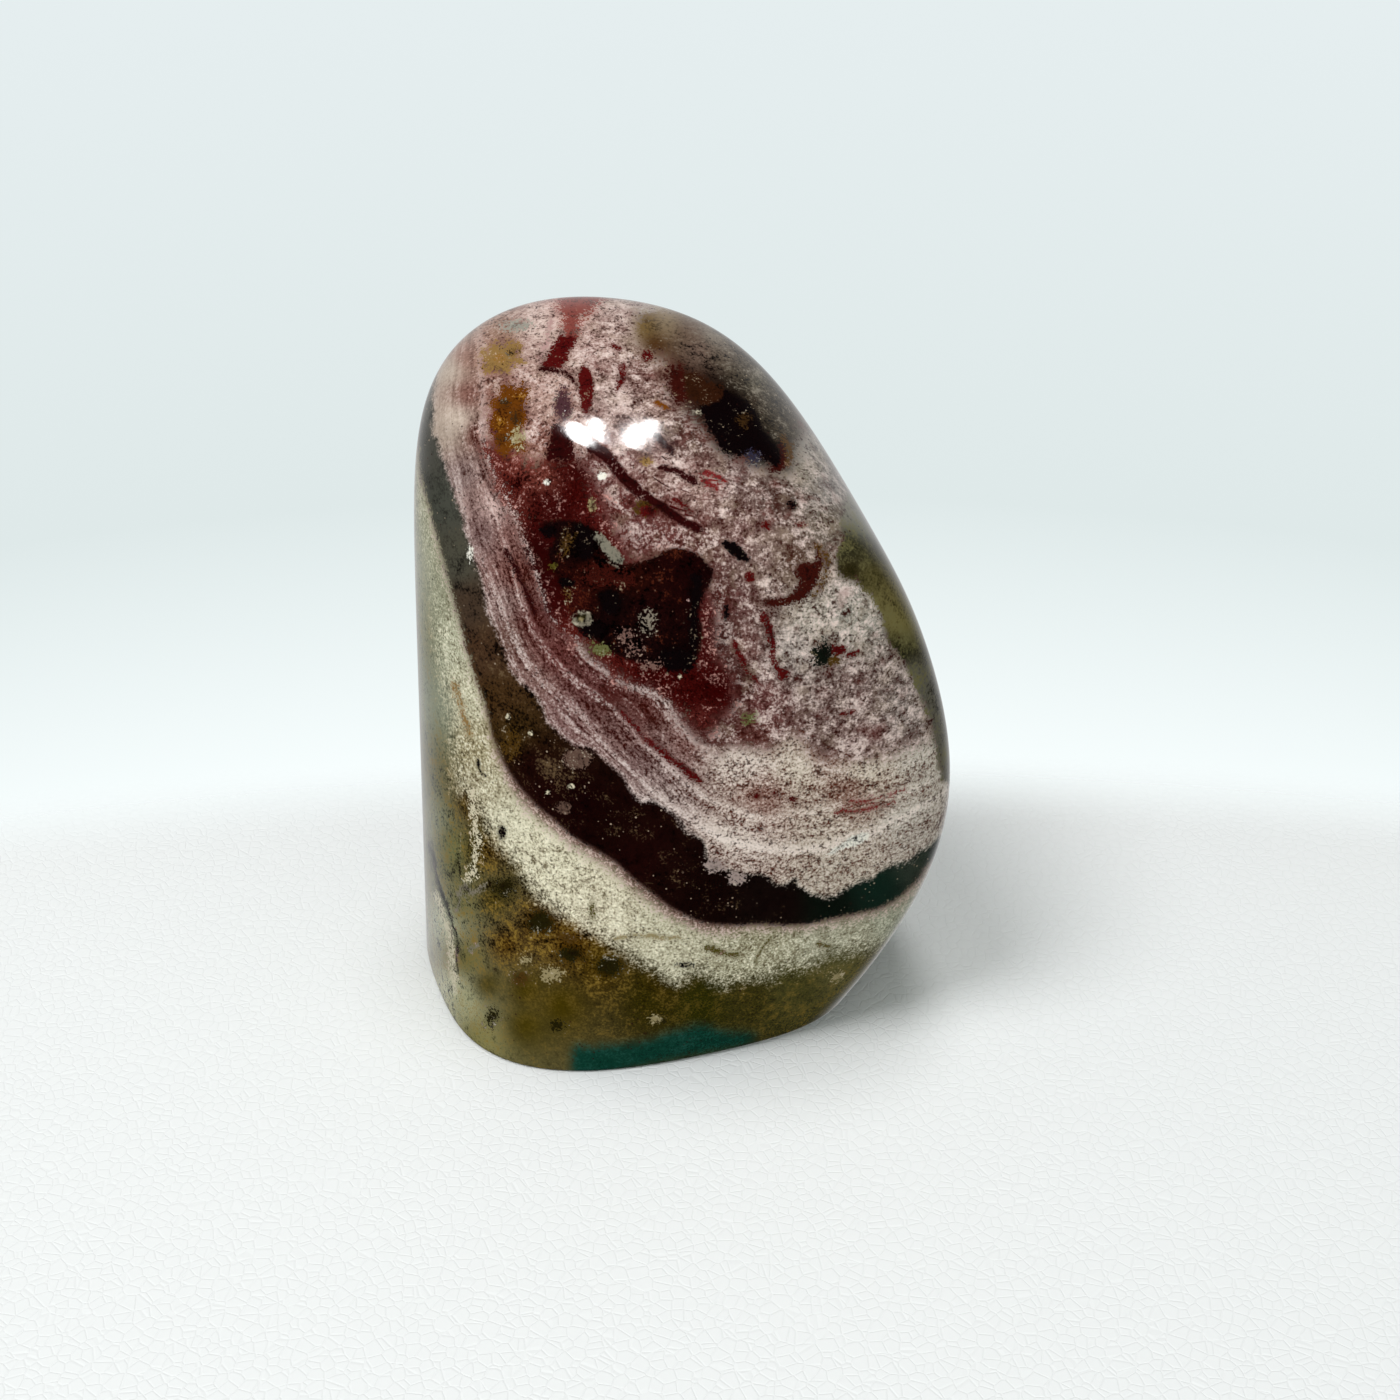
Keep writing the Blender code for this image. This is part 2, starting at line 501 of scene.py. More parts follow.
# %% Pile height
def pile_height():
    """Return the height in the pile: between two lines, their heights shared out by the distance to each."""
    names = list(LAYER_LINES)
    height = PILE_HEIGHTS[names[0]] + np.minimum(line_distances[names[0]], 0)
    for lower, upper in zip(names[:-1], names[1:]):
        above = np.maximum(line_distances[lower], 0)
        below = np.maximum(-line_distances[upper], 0)
        share = above / np.maximum(above + below, 1e-6)
        height = height + (PILE_HEIGHTS[upper] - PILE_HEIGHTS[lower]) * share
    return height + np.maximum(line_distances[names[-1]], 0)


pile = pile_height()
print("pile height from", round(float(pile.min()), 1), "to", round(float(pile.max()), 1), "mm")

# %% [markdown]
# ## Patches with an outline
# Some of the rock isn't layered. An older, darker rock was broken and healed again, which leaves patches
# with an outline: the dark one in the middle of the red, the one on the right of the crown, and the olive
# rock on the right flank. Each is a closed outline, and each also has a depth, so that it ends somewhere
# inside the stone instead of going on to the back. A patch that the outline of the stone cuts off grows
# a little first, because the cut shows only its near end.

# %% Outlined patches: corners in pixels, growth per mm of depth, reach in mm
PATCHES = {
    "deep_red": (
        [
            (482, 448), (492, 480), (507, 505), (520, 531), (529, 560), (539, 590), (546, 616), (562, 632),
            (580, 641), (590, 656), (606, 668), (626, 681), (656, 689), (672, 704), (690, 722), (706, 730),
            (720, 718), (730, 704), (733, 690), (727, 674), (718, 658), (712, 640), (712, 612), (706, 588),
            (690, 566), (664, 556), (640, 560), (622, 550), (610, 526), (602, 502), (592, 480), (578, 462),
            (558, 454), (535, 462), (518, 452), (500, 446),
        ],
        0.0, 6,
    ),
    "dark_patch": (
        [
            (540, 524), (560, 520), (580, 522), (597, 530), (606, 545), (620, 563), (641, 561), (660, 553),
            (676, 549), (697, 554), (714, 570), (712, 580), (703, 598), (699, 615), (701, 632), (699, 652),
            (690, 667), (676, 671), (662, 668), (641, 663), (617, 655), (598, 643), (577, 628), (568, 606),
            (560, 586), (553, 570), (548, 553), (554, 538),
        ],
        0.0, 3,
    ),
    "crown_patch": (
        [
            (642, 312), (637, 324), (646, 350), (668, 360), (671, 392), (690, 414), (706, 430), (720, 450),
            (740, 460), (765, 467), (788, 469), (800, 440), (796, 400), (780, 360), (740, 320), (700, 285),
            (672, 306),
        ],
        0.1, 12,
    ),
    "green_flank": (
        [
            (846, 500), (841, 522), (842, 541), (837, 557), (841, 576), (856, 582), (871, 596), (881, 614),
            (887, 639), (901, 659), (913, 678), (920, 694), (930, 720), (934, 741), (940, 771), (948, 782),
            (1000, 790), (1000, 500), (880, 470),
        ],
        0.55, 22,
    ),
    "teal_lens": (
        [
            (573, 1047), (592, 1045), (640, 1041), (671, 1031), (701, 1025), (726, 1031), (754, 1034),
            (745, 1046), (690, 1057), (640, 1068), (600, 1078), (573, 1078),
        ],
        0.0, 6,
    ),
}
print("patches:", ", ".join(PATCHES))

# %% [markdown]
# Every point gets one distance for each patch. Behind the front both the edge and the far end sway.

# %% Distance inside each patch, in mm
PATCH_WAVE = 22
EDGE_SWAY = 2
REACH_SWAY = 5


def inside_outline(places, outline):
    """Return each place's distance in mm inside a closed outline, which is less than 0 outside it."""
    curve = curve_through(outline, closed=True)
    side = np.where(is_inside(places, curve[:-1]), 1, -1)
    return side * distance_to(places, curve) / PIXELS_PER_MM


def patch_distance(outline, growth, reach):
    """Return the distance inside a patch: that of its outline, plus growth times the depth up to its
    reach, less the depth past its reach. Both are swayed by the wander, so the far end is ragged too."""
    sway = hidden * wander(points, PATCH_WAVE, seed=7)
    past_reach = np.maximum(depth + REACH_SWAY * sway - reach, 0)
    grown = inside_outline(place, outline) + growth * np.minimum(depth, reach)
    return grown + EDGE_SWAY * sway - past_reach


patch_distances = {name: patch_distance(*patch) for name, patch in PATCHES.items()}
print("points in a patch:", {name: int((value > 0).sum()) for name, value in patch_distances.items()})

# %% [markdown]
# ## Ground colours
# Within one layer the colour changes slowly: the dark band goes from grey at the top, over brown, to
# nearly black and then to a bottle green on the right. Each layer has its own places, chosen where its
# colour changes, with the colour that was judged to fit there once the light falls on it. In between the
# colour is a mean that heeds the nearest places most. The graininess says how strongly grain shows.
# Along the top outline, a few places of the pink rock are also lighter with a painted sheen.

# %% Ground colours by layer: place across, place down, colour, graininess
GROUNDS = {
    "base": [
        (424, 560, "a09f8c", 0.3), (430, 700, "8b8e7b", 0.3), (433, 820, "86876d", 0.6),
        (440, 920, "c2c4aa", 1.0), (448, 990, "cccaab", 0.8), (478, 1040, "847d50", 0.5),
        (470, 850, "4c4016", 0.9), (492, 900, "40340a", 0.9), (462, 905, "6f6a45", 0.7),
        (466, 960, "6a6339", 0.6), (385, 560, "7d8068", 0.5), (350, 640, "8f8a64", 0.6),
        (385, 720, "5f5a35", 0.8), (345, 800, "77764f", 0.6), (390, 860, "a09f80", 0.6),
        (350, 930, "5a4a1c", 0.9), (486, 985, "423603", 0.25), (525, 1025, "413503", 0.15),
        (540, 925, "462c03", 1.1), (600, 965, "3e2c02", 0.7), (505, 945, "462c02", 0.9),
        (570, 945, "503406", 1.1), (660, 985, "352903", 0.4), (525, 990, "433503", 0.25),
        (560, 1005, "3f3202", 0.15), (650, 1000, "2e2703", 0.3), (700, 1005, "292803", 0.2),
        (750, 995, "383210", 0.4), (790, 985, "46421f", 0.4), (850, 970, "56512f", 0.4),
        (880, 955, "554f33", 0.3), (474, 806, "4e3810", 0.9), (488, 850, "46300a", 1.0),
        (455, 850, "74744f", 0.6), (462, 1000, "a8a682", 0.6),
    ],
    "cream": [
        (424, 600, "97967f", 0.4), (440, 650, "b4b29a", 0.6), (455, 700, "b8b298", 0.7),
        (470, 750, "a09474", 0.7), (480, 790, "ada388", 0.7), (505, 820, "c8c1a8", 0.6),
        (545, 860, "cfc7ae", 0.7), (605, 905, "c6bca4", 0.7), (665, 940, "bfb89f", 0.6),
        (750, 952, "a09a80", 0.7), (850, 935, "9c9883", 0.5), (895, 915, "989986", 0.4),
    ],
    "dark": [
        (430, 455, "47453f", 0.4), (438, 500, "43433c", 0.4), (455, 560, "47443a", 0.5),
        (468, 605, "403126", 0.7), (482, 650, "412c1d", 0.9), (495, 700, "3e2914", 1.0),
        (508, 735, "36250e", 0.9), (530, 765, "1a0604", 0.8), (545, 795, "190504", 0.7),
        (580, 800, "120202", 0.6), (610, 825, "130302", 0.5), (640, 860, "1a0504", 0.6),
        (700, 895, "0f0302", 0.5), (670, 885, "170604", 0.7), (780, 905, "100605", 0.5),
        (830, 905, "080f09", 0.25), (880, 887, "0e2119", 0.25), (915, 864, "2c332b", 0.5),
    ],
    "mauve": [
        (447, 370, "b0a092", 0.2), (449, 430, "a39285", 0.25), (450, 330, "a39487", 0.2),
        (455, 420, "c8b6a8", 0.22), (464, 475, "8b7571", 0.64), (484, 535, "846a67", 0.72),
        (490, 485, "90706a", 0.64), (500, 503, "cbaca6", 0.56), (508, 535, "8a625c", 0.72),
        (520, 570, "84564f", 0.8), (500, 605, "937873", 0.8), (530, 680, "83645e", 0.8),
        (570, 715, "7f5f5c", 0.8), (640, 765, "806562", 0.8), (466, 355, "946f62", 0.35),
        (467, 395, "7f564d", 0.5), (474, 435, "6b4038", 0.72), (536, 620, "6f4340", 0.88),
        (590, 680, "704846", 0.88), (640, 712, "663e3a", 0.9), (685, 745, "86645f", 0.8),
        (665, 800, "b09d97", 1.0), (740, 830, "cdbcb2", 1.1), (740, 765, "cbbbb0", 1.15),
        (800, 770, "cdbfae", 1.0), (865, 772, "cbbdac", 0.9), (920, 760, "b8afa3", 0.8),
        (760, 797, "9c7c72", 1.04), (822, 757, "95786d", 1.1), (850, 792, "8c6d60", 1.1),
        (830, 832, "c4b5a6", 1.0), (910, 825, "b4aba0", 0.8), (840, 872, "b8ac9d", 0.9),
        (560, 655, "70413e", 0.8), (505, 640, "6c4f47", 0.8), (610, 693, "4a1d1a", 0.8),
        (620, 730, "8a6c68", 0.8), (662, 772, "9c8581", 0.9),
    ],
    "inner": [
        (470, 345, "875f4f", 0.4), (484, 400, "7c5348", 0.64), (488, 435, "6b3b33", 0.8),
        # At 303 and 302 down, on the top outline, the colours are pink rock lightened by a painted sheen of
        # the pale room
        (500, 322, "92705f", 0.56), (540, 325, "c4aba2", 0.8), (570, 303, "c0938a", 0.4),
        (620, 318, "a98f88", 1.0), (640, 380, "7a5b55", 1.2), (545, 400, "a6857b", 0.8),
        (600, 350, "9f8079", 1.1), (645, 302, "c4bab2", 0.24), (664, 302, "b8aca2", 0.24),
        (652, 330, "6f5a3a", 0.48), (685, 335, "6b5848", 0.48), (725, 352, "4a3c2f", 0.4),
        (760, 392, "4f422f", 0.4), (784, 430, "4d4130", 0.4), (690, 425, "4a2f28", 1.0),
        (665, 365, "6c5044", 0.64), (705, 360, "5c3f36", 0.56), (806, 470, "837a6c", 0.64),
        (528, 470, "62302a", 0.9), (545, 440, "7c5249", 0.88), (620, 470, "74504c", 0.8),
        (700, 490, "8a6d66", 1.0), (600, 470, "583230", 0.96), (740, 480, "6e5955", 0.9),
        (780, 500, "48342e", 0.85), (830, 522, "6c6358", 0.72), (620, 505, "5c2e2b", 0.9),
        (665, 540, "5e322f", 1.04), (725, 600, "461915", 0.85), (722, 640, "2c0a09", 0.6),
        (700, 548, "5a3733", 1.04), (545, 600, "34120e", 0.8), (720, 670, "320c0a", 0.7),
        (800, 450, "969088", 0.56), (825, 490, "87807a", 0.64), (640, 525, "5e3432", 0.85),
        (745, 535, "735450", 1.0), (790, 560, "4c3628", 0.9), (740, 600, "6a4c49", 0.9),
        (810, 615, "aaa195", 1.1), (855, 615, "949086", 1.1), (740, 645, "785550", 1.1),
        (790, 650, "a79b94", 1.1), (850, 700, "7b6661", 1.1), (905, 705, "80746e", 1.0),
        (760, 700, "6d4442", 1.1), (860, 740, "836a65", 1.1), (755, 735, "613a35", 1.1),
        (530, 448, "90695c", 0.9), (630, 532, "552c28", 0.5), (735, 690, "330605", 0.7),
        (700, 712, "340505", 0.6), (625, 402, "b49b94", 1.0), (654, 402, "8f746c", 1.1),
        (765, 562, "806a63", 1.0), (762, 540, "806a64", 1.0),
    ],
    "red": [
        (492, 472, "56201a", 1.0), (512, 482, "470f0a", 1.0), (545, 478, "6a352c", 1.1),
        (572, 492, "360302", 0.8), (525, 515, "4e1a15", 1.2), (600, 500, "4c1210", 1.0),
        (560, 468, "3a0806", 0.8), (545, 595, "340606", 0.8), (570, 640, "4a140f", 0.9),
        (612, 672, "48120e", 0.9), (650, 684, "340302", 0.9), (692, 696, "360403", 0.8),
        (716, 690, "300101", 0.7), (720, 650, "3c0d0b", 0.9), (722, 610, "401110", 1.0),
        (700, 722, "521e1a", 1.0), (660, 548, "5c2c29", 1.1), (536, 550, "240202", 0.5),
        (550, 582, "260202", 0.5), (535, 528, "300404", 0.8), (560, 508, "2c0202", 0.6),
        (545, 502, "300303", 0.7), (577, 472, "2a0202", 0.7), (520, 470, "6e342c", 1.1),
    ],
    "healed": [
        (550, 540, "140505", 1.2), (580, 545, "050202", 0.9), (598, 575, "2a0a05", 1.3),
        (632, 578, "240804", 1.1), (675, 570, "170303", 0.9), (692, 605, "150303", 0.6),
        (645, 610, "1a0505", 1.05), (672, 656, "0a0202", 0.8), (600, 628, "100404", 1.2),
        (568, 598, "2e0806", 1.2), (618, 600, "0a0303", 0.9), (640, 645, "160606", 1.35),
    ],
    "crown": [
        (646, 326, "6b5430", 0.7), (655, 345, "3e2003", 0.6), (665, 320, "84725c", 0.5),
        (690, 330, "604c3f", 0.7), (715, 335, "776c60", 0.8), (700, 350, "69544a", 1.1),
        (725, 355, "5b4e42", 1.1), (740, 370, "4a4033", 1.2), (755, 385, "574f3f", 1.3),
        (765, 405, "453c2f", 1.3), (782, 430, "453b2d", 1.2), (675, 375, "381408", 0.9),
        (680, 395, "2d0a05", 0.9), (700, 380, "250c04", 0.7), (720, 385, "100201", 0.8),
        (735, 395, "0a0201", 0.7), (715, 410, "060101", 0.7), (745, 410, "0e0301", 0.8),
        (735, 430, "060101", 0.7), (765, 440, "070304", 0.9), (750, 400, "2e2015", 1.1),
        (772, 457, "080303", 0.6),
    ],
    "green": [
        (848, 514, "7c766a", 0.7), (862, 522, "5c5e50", 0.5), (850, 545, "161404", 0.6),
        (866, 551, "3f3b26", 0.6), (850, 572, "241c08", 0.7), (872, 577, "504829", 0.6),
        (888, 597, "655b37", 0.6), (903, 620, "6e643c", 0.6), (900, 650, "1c1b0a", 0.6),
        (918, 680, "5a564e", 0.8), (934, 730, "5e5950", 0.7),
    ],
}
print("judged colours:", sum(len(judged) for judged in GROUNDS.values()))

# %% [markdown]
# Each point then gets a colour in every layer. The mean is made on the points with numpy, because a chain of
# nodes for so many places would be slow and hard to read. Which layer shows is decided in the material.

# %% Ground colours on the points
NEAREST = 9


def ground_colours(judged):
    """Return a colour for every point, with the graininess as its alpha: the mean of the judged ones,
    weighted by one over the cube of the distance to each place. The distance is softened by the nearest
    that counts, in pixels: the squares of both are added up."""
    centres = np.array([(across, down) for across, down, _, _ in judged], dtype=float)
    colours = np.array([(*linear(colour)[:3], graininess) for _, _, colour, graininess in judged])
    squares = ((place[:, None, :] - centres) ** 2).sum(axis=-1) + NEAREST**2
    weights = squares**-1.5
    return weights @ colours / weights.sum(axis=1, keepdims=True)


ground_values = {name: ground_colours(judged) for name, judged in GROUNDS.items()}
print("layers with ground colours:", ", ".join(ground_values))

# %% [markdown]
# ## Broken pieces and spots
# The upper rock is a breccia: splinters and spots of red, ochre and black rock lie in a pink and white
# ground. Here they are of two kinds. A spot has a middle and two half widths, and a splinter has an
# outline of a few corners. Each has a colour and an edge, from sharp to soft, in millimetres.

# %% Colours of the pieces
PIECE_COLOURS = {
    "black": "080304",
    "maroon": "2a0606",
    "oxblood": "4a0b0b",
    "red": "6b1f1f",
    # Red rock under a painted sheen of the pale room, as mirrored along the top edge
    "red_with_painted_sheen": "80423b",
    "gold": "83571a",
    "pink": "ac8985",
    "pale_mauve": "978580",
    "plum": "45292e",
    "brown_mauve": "5a443b",
    "crescent": "330d08",
    "ochre_brown": "4c3416",
    "rust": "6a3a10",
    "orange": "5e320a",
    "ochre": "86673c",
    "brown": "46300f",
    "olive_brown": "2c1408",
    # A painted bluish reflection of the room on the black rock of the crown
    "bluish_reflection_on_black": "292636",
    "dark_brown": "33210e",
    "olive": "4a4216",
    "dark_olive": "1f1a05",
    "tan": "8d7f5c",
    "cream": "c9bfa6",
    "white": "e2dcd2",
    "grey": "8f8a80",
    "grey_green": "767063",
    "moss": "5a5a34",
    "crystal": "766c60",
    "pink_crystal": "6c5049",
    "green_black": "0d110b",
    "pale_grey": "776f60",
}

print("colours for the pieces:", len(PIECE_COLOURS))

# %% [markdown]
# The spots are the round things: crystals of quartz, drops of iron ore and soft clouds of ochre or moss
# green, and one painted bluish reflection on the black rock of the crown. A crystal has a sharp edge and a
# cloud a soft one.

# %% Spots: across, down, half width, half height, colour, edge in mm
SPOTS = [
    (505, 403, 4, 3, "dark_brown", 0.5),
    (516, 421, 3, 6, "dark_brown", 0.5),
    (504, 438, 6, 2.5, "dark_brown", 0.5),
    (519, 396, 3, 2, "gold", 0.4),
    (500, 424, 3, 4, "gold", 0.5),
    (513, 444, 3, 2.5, "gold", 0.4),
    (521, 432, 2, 3, "tan", 0.4),
    (497, 357, 5, 3, "gold", 0.5),
    (512, 352, 4, 2, "dark_brown", 0.5),
    (516, 326, 14, 5, "grey", 0.5),
    (563, 406, 9, 17, "plum", 0.4),
    (647, 356, 6, 6, "oxblood", 0.25),
    (647, 508, 12, 9, "brown", 0.3),
    (648, 511, 9, 6, "oxblood", 0.3),
    (792, 505, 5, 5, "black", 0.25),
    (766, 525, 5, 4, "oxblood", 0.25),
    (801, 525, 8, 3.5, "oxblood", 0.25),
    (750, 577, 5, 5, "oxblood", 0.25),
    (770, 575, 2.8, 2.8, "maroon", 0.2),
    (726, 612, 3.2, 7, "black", 0.2),
    (783, 674, 6, 6, "oxblood", 0.3),
    (750, 719, 6.5, 6, "moss", 0.5),
    (547, 482, 3.5, 3, "white", 0.08),
    (602, 476, 4.5, 4, "white", 0.1),
    (592, 505, 4, 6.5, "tan", 0.15),
    (593, 506, 2.2, 4, "maroon", 0.15),
    (680, 677, 1.8, 1.8, "cream", 0.1),
    (744, 420, 6, 6, "dark_brown", 0.6),
    (699, 413, 1.8, 2.2, "pale_grey", 0.2),
    # Painted bluish reflection of the room, soft-edged, on the black rock of the crown
    (753, 458, 6, 6, "bluish_reflection_on_black", 0.6),
    (646, 461, 6, 4.5, "ochre", 0.3),
    (715, 866, 9, 7, "pale_mauve", 0.35),
    (736, 878, 9, 6, "pale_mauve", 0.35),
    (577, 759, 14, 10, "brown_mauve", 0.25),
    (564, 808, 7, 6, "brown_mauve", 0.2),
    (511, 744, 9, 13, "brown", 0.6),
    (508, 717, 2.2, 2.2, "cream", 0.15),
    (531, 733, 2.2, 2.6, "cream", 0.15),
    (571, 786, 2.4, 2.4, "cream", 0.15),
    (548, 792, 2.2, 2.2, "cream", 0.15),
    (757, 796, 4, 3.5, "oxblood", 0.25),
    (775, 794, 3, 2.5, "oxblood", 0.25),
    (793, 799, 4, 2.5, "oxblood", 0.25),
    (760, 829, 3, 2.5, "maroon", 0.25),
    (470, 553, 2.6, 7, "white", 0.2),
    (502, 832, 4, 7, "black", 0.2),
    (684, 965, 7, 2.5, "black", 0.25),
    (505, 888, 11, 10, "dark_olive", 0.8),
    (541, 922, 12, 10, "dark_olive", 0.6),
    (570, 955, 12, 7, "dark_olive", 0.6),
    (610, 966, 13, 9, "dark_olive", 0.5),
    (491, 1018, 6, 9, "dark_olive", 0.6),
    (558, 1026, 6, 5, "dark_olive", 0.5),
    (552, 974, 9, 7, "tan", 0.5),
    (520, 978, 7, 6, "brown", 0.5),
    (526, 960, 5, 4, "tan", 0.4),
    (568, 937, 8, 5, "brown", 0.4),
    (655, 1019, 6, 4, "tan", 0.3),
    (664, 1021, 2.5, 2.5, "dark_olive", 0.2),
    (836, 976, 6, 4, "tan", 0.4),
    (592, 910, 2.5, 8, "olive", 0.3),
    (553, 566, 4, 3.5, "olive", 0.25),
    (566, 543, 5, 10, "dark_brown", 0.5),
    (582, 619, 10, 8, "pale_grey", 0.15),
    (581, 618, 6, 4.5, "dark_olive", 0.15),
    (581, 619, 3, 2, "tan", 0.1),
    (600, 649, 9, 6, "moss", 0.5),
    (648, 621, 5, 9, "crystal", 0.8),
    (624, 636, 4.2, 4.2, "pink_crystal", 0.8),
    (636, 648, 4.2, 3.4, "pink_crystal", 0.8),
    (650, 666, 7, 3, "pink_crystal", 0.8),
    (688, 600, 1.2, 1.2, "pink", 0.1),
    (568, 595, 2.5, 4, "ochre_brown", 0.5),
    (517, 437, 7, 10, "tan", 0.5),
]

print("spots:", len(SPOTS))

# %% [markdown]
# The splinters are angular. Some are long chips of red or black rock that swam in the pink rock before it
# set, and others are larger clouds whose outline isn't round. The one at the top of the red wedge is red rock
# under a painted sheen.

# %% Splinters: colour, edge in mm, corners
SPLINTERS = [
    ("ochre", 0.6, [(481, 352), (488, 350), (492, 343), (503, 344), (512, 340), (521, 345), (519, 354),
                    (523, 362), (513, 366), (506, 374), (496, 370), (487, 373), (482, 363)]),
    ("orange", 0.45, [(500, 389), (507, 383), (516, 386), (525, 383), (527, 395), (524, 408), (528, 418),
                      (523, 432), (527, 444), (520, 454), (512, 450), (505, 458), (497, 448), (494, 436),
                      (489, 424), (494, 412), (490, 402), (497, 396)]),
    ("gold", 0.7, [(498, 398), (508, 394), (519, 402), (521, 416), (513, 428), (502, 430), (496, 416)]),
    # Top of the red wedge: red rock under a painted sheen of the pale room along the top edge
    ("red_with_painted_sheen", 0.8, [(558, 288), (558, 306), (563, 318), (564, 338), (576, 338), (580, 320), (592, 311),
                         (602, 300), (604, 288)]),
    ("oxblood", 0.35, [(563, 334), (557, 338), (552, 345), (542, 367), (558, 369), (566, 363), (570, 352),
                       (576, 341), (576, 335), (570, 332)]),
    ("oxblood", 0.2, [(580, 368), (588, 367), (593, 376), (594, 392), (591, 408), (586, 416), (581, 406),
                      (579, 388)]),
    ("maroon", 0.35, [(553, 424), (565, 428), (573, 441), (572, 458), (560, 462), (546, 458), (549, 440)]),
    ("black", 0.2, [(721, 542), (736, 543), (746, 553), (751, 563), (742, 562), (729, 553)]),
    ("crescent", 0.35, [(814, 543), (819, 546), (823, 562), (819, 578), (812, 591), (804, 600), (788, 605),
                       (770, 607), (761, 604), (764, 600), (783, 597), (794, 590), (799, 580), (795, 571),
                       (801, 563), (812, 563), (817, 556)]),
    ("white", 0.15, [(826, 854), (838, 846), (848, 838), (858, 834), (869, 833), (866, 840), (856, 846),
                     (846, 848), (836, 851)]),
    ("green_black", 0.8, [(813, 650), (820, 643), (831, 645), (833, 656), (825, 666), (815, 664)]),
    ("oxblood", 0.25, [(832, 646), (843, 646), (847, 650), (841, 654), (833, 653)]),
    ("brown", 0.5, [(827, 658), (834, 656), (838, 660), (834, 665), (828, 665)]),
    ("black", 0.4, [(576, 528), (588, 525), (595, 540), (592, 556), (582, 560), (577, 546)]),
    ("black", 0.4, [(600, 593), (614, 591), (622, 602), (616, 613), (604, 610)]),
    ("black", 0.3, [(559, 578), (570, 578), (575, 584), (568, 588), (560, 586)]),
    ("black", 0.4, [(579, 623), (594, 622), (603, 630), (597, 638), (584, 636)]),
    ("black", 0.4, [(662, 652), (680, 650), (696, 655), (694, 668), (680, 672), (664, 667)]),
    ("black", 0.4, [(692, 574), (703, 578), (702, 600), (697, 620), (700, 640), (692, 652), (688, 630),
                    (690, 602)]),
    ("black", 0.3, [(539, 527), (551, 526), (556, 532), (549, 539), (541, 536)]),
    ("crescent", 0.7, [(584, 569), (602, 566), (622, 570), (635, 577), (628, 587), (606, 584), (590, 587)]),
    ("grey_green", 0.15, [(595, 534), (602, 535), (612, 545), (624, 559), (621, 565), (613, 562),
                          (603, 551)]),
    ("olive_brown", 0.5, [(681, 376), (692, 372), (706, 378), (722, 388), (728, 398), (714, 408), (696, 403),
                          (684, 391)]),
    ("black", 0.3, [(700, 406), (712, 400), (724, 390), (742, 398), (756, 411), (763, 430), (775, 444),
                    (784, 462), (776, 470), (762, 458), (750, 452), (738, 457), (722, 450), (712, 436),
                    (704, 420)]),
    ("crescent", 0.3, [(778, 440), (786, 446), (788, 462), (780, 472), (768, 470), (776, 462), (780, 452)]),
    ("crescent", 0.7, [(668, 366), (680, 366), (688, 382), (684, 400), (675, 402), (668, 386)]),
]
print("splinters:", len(SPLINTERS))

# %% [markdown]
# ## Veins, dashes and cracks
# Where the rock cracked, a thin seam of red, black or pale silica healed it. Each seam is a line with a
# half width at its start and its end. The points carry two numbers for it: the distance to the side of
# its middle line, which has a sign, and the half width there. Even a seam that is thinner than the grid
# then comes out clean, because the sideways distance runs straight through zero.

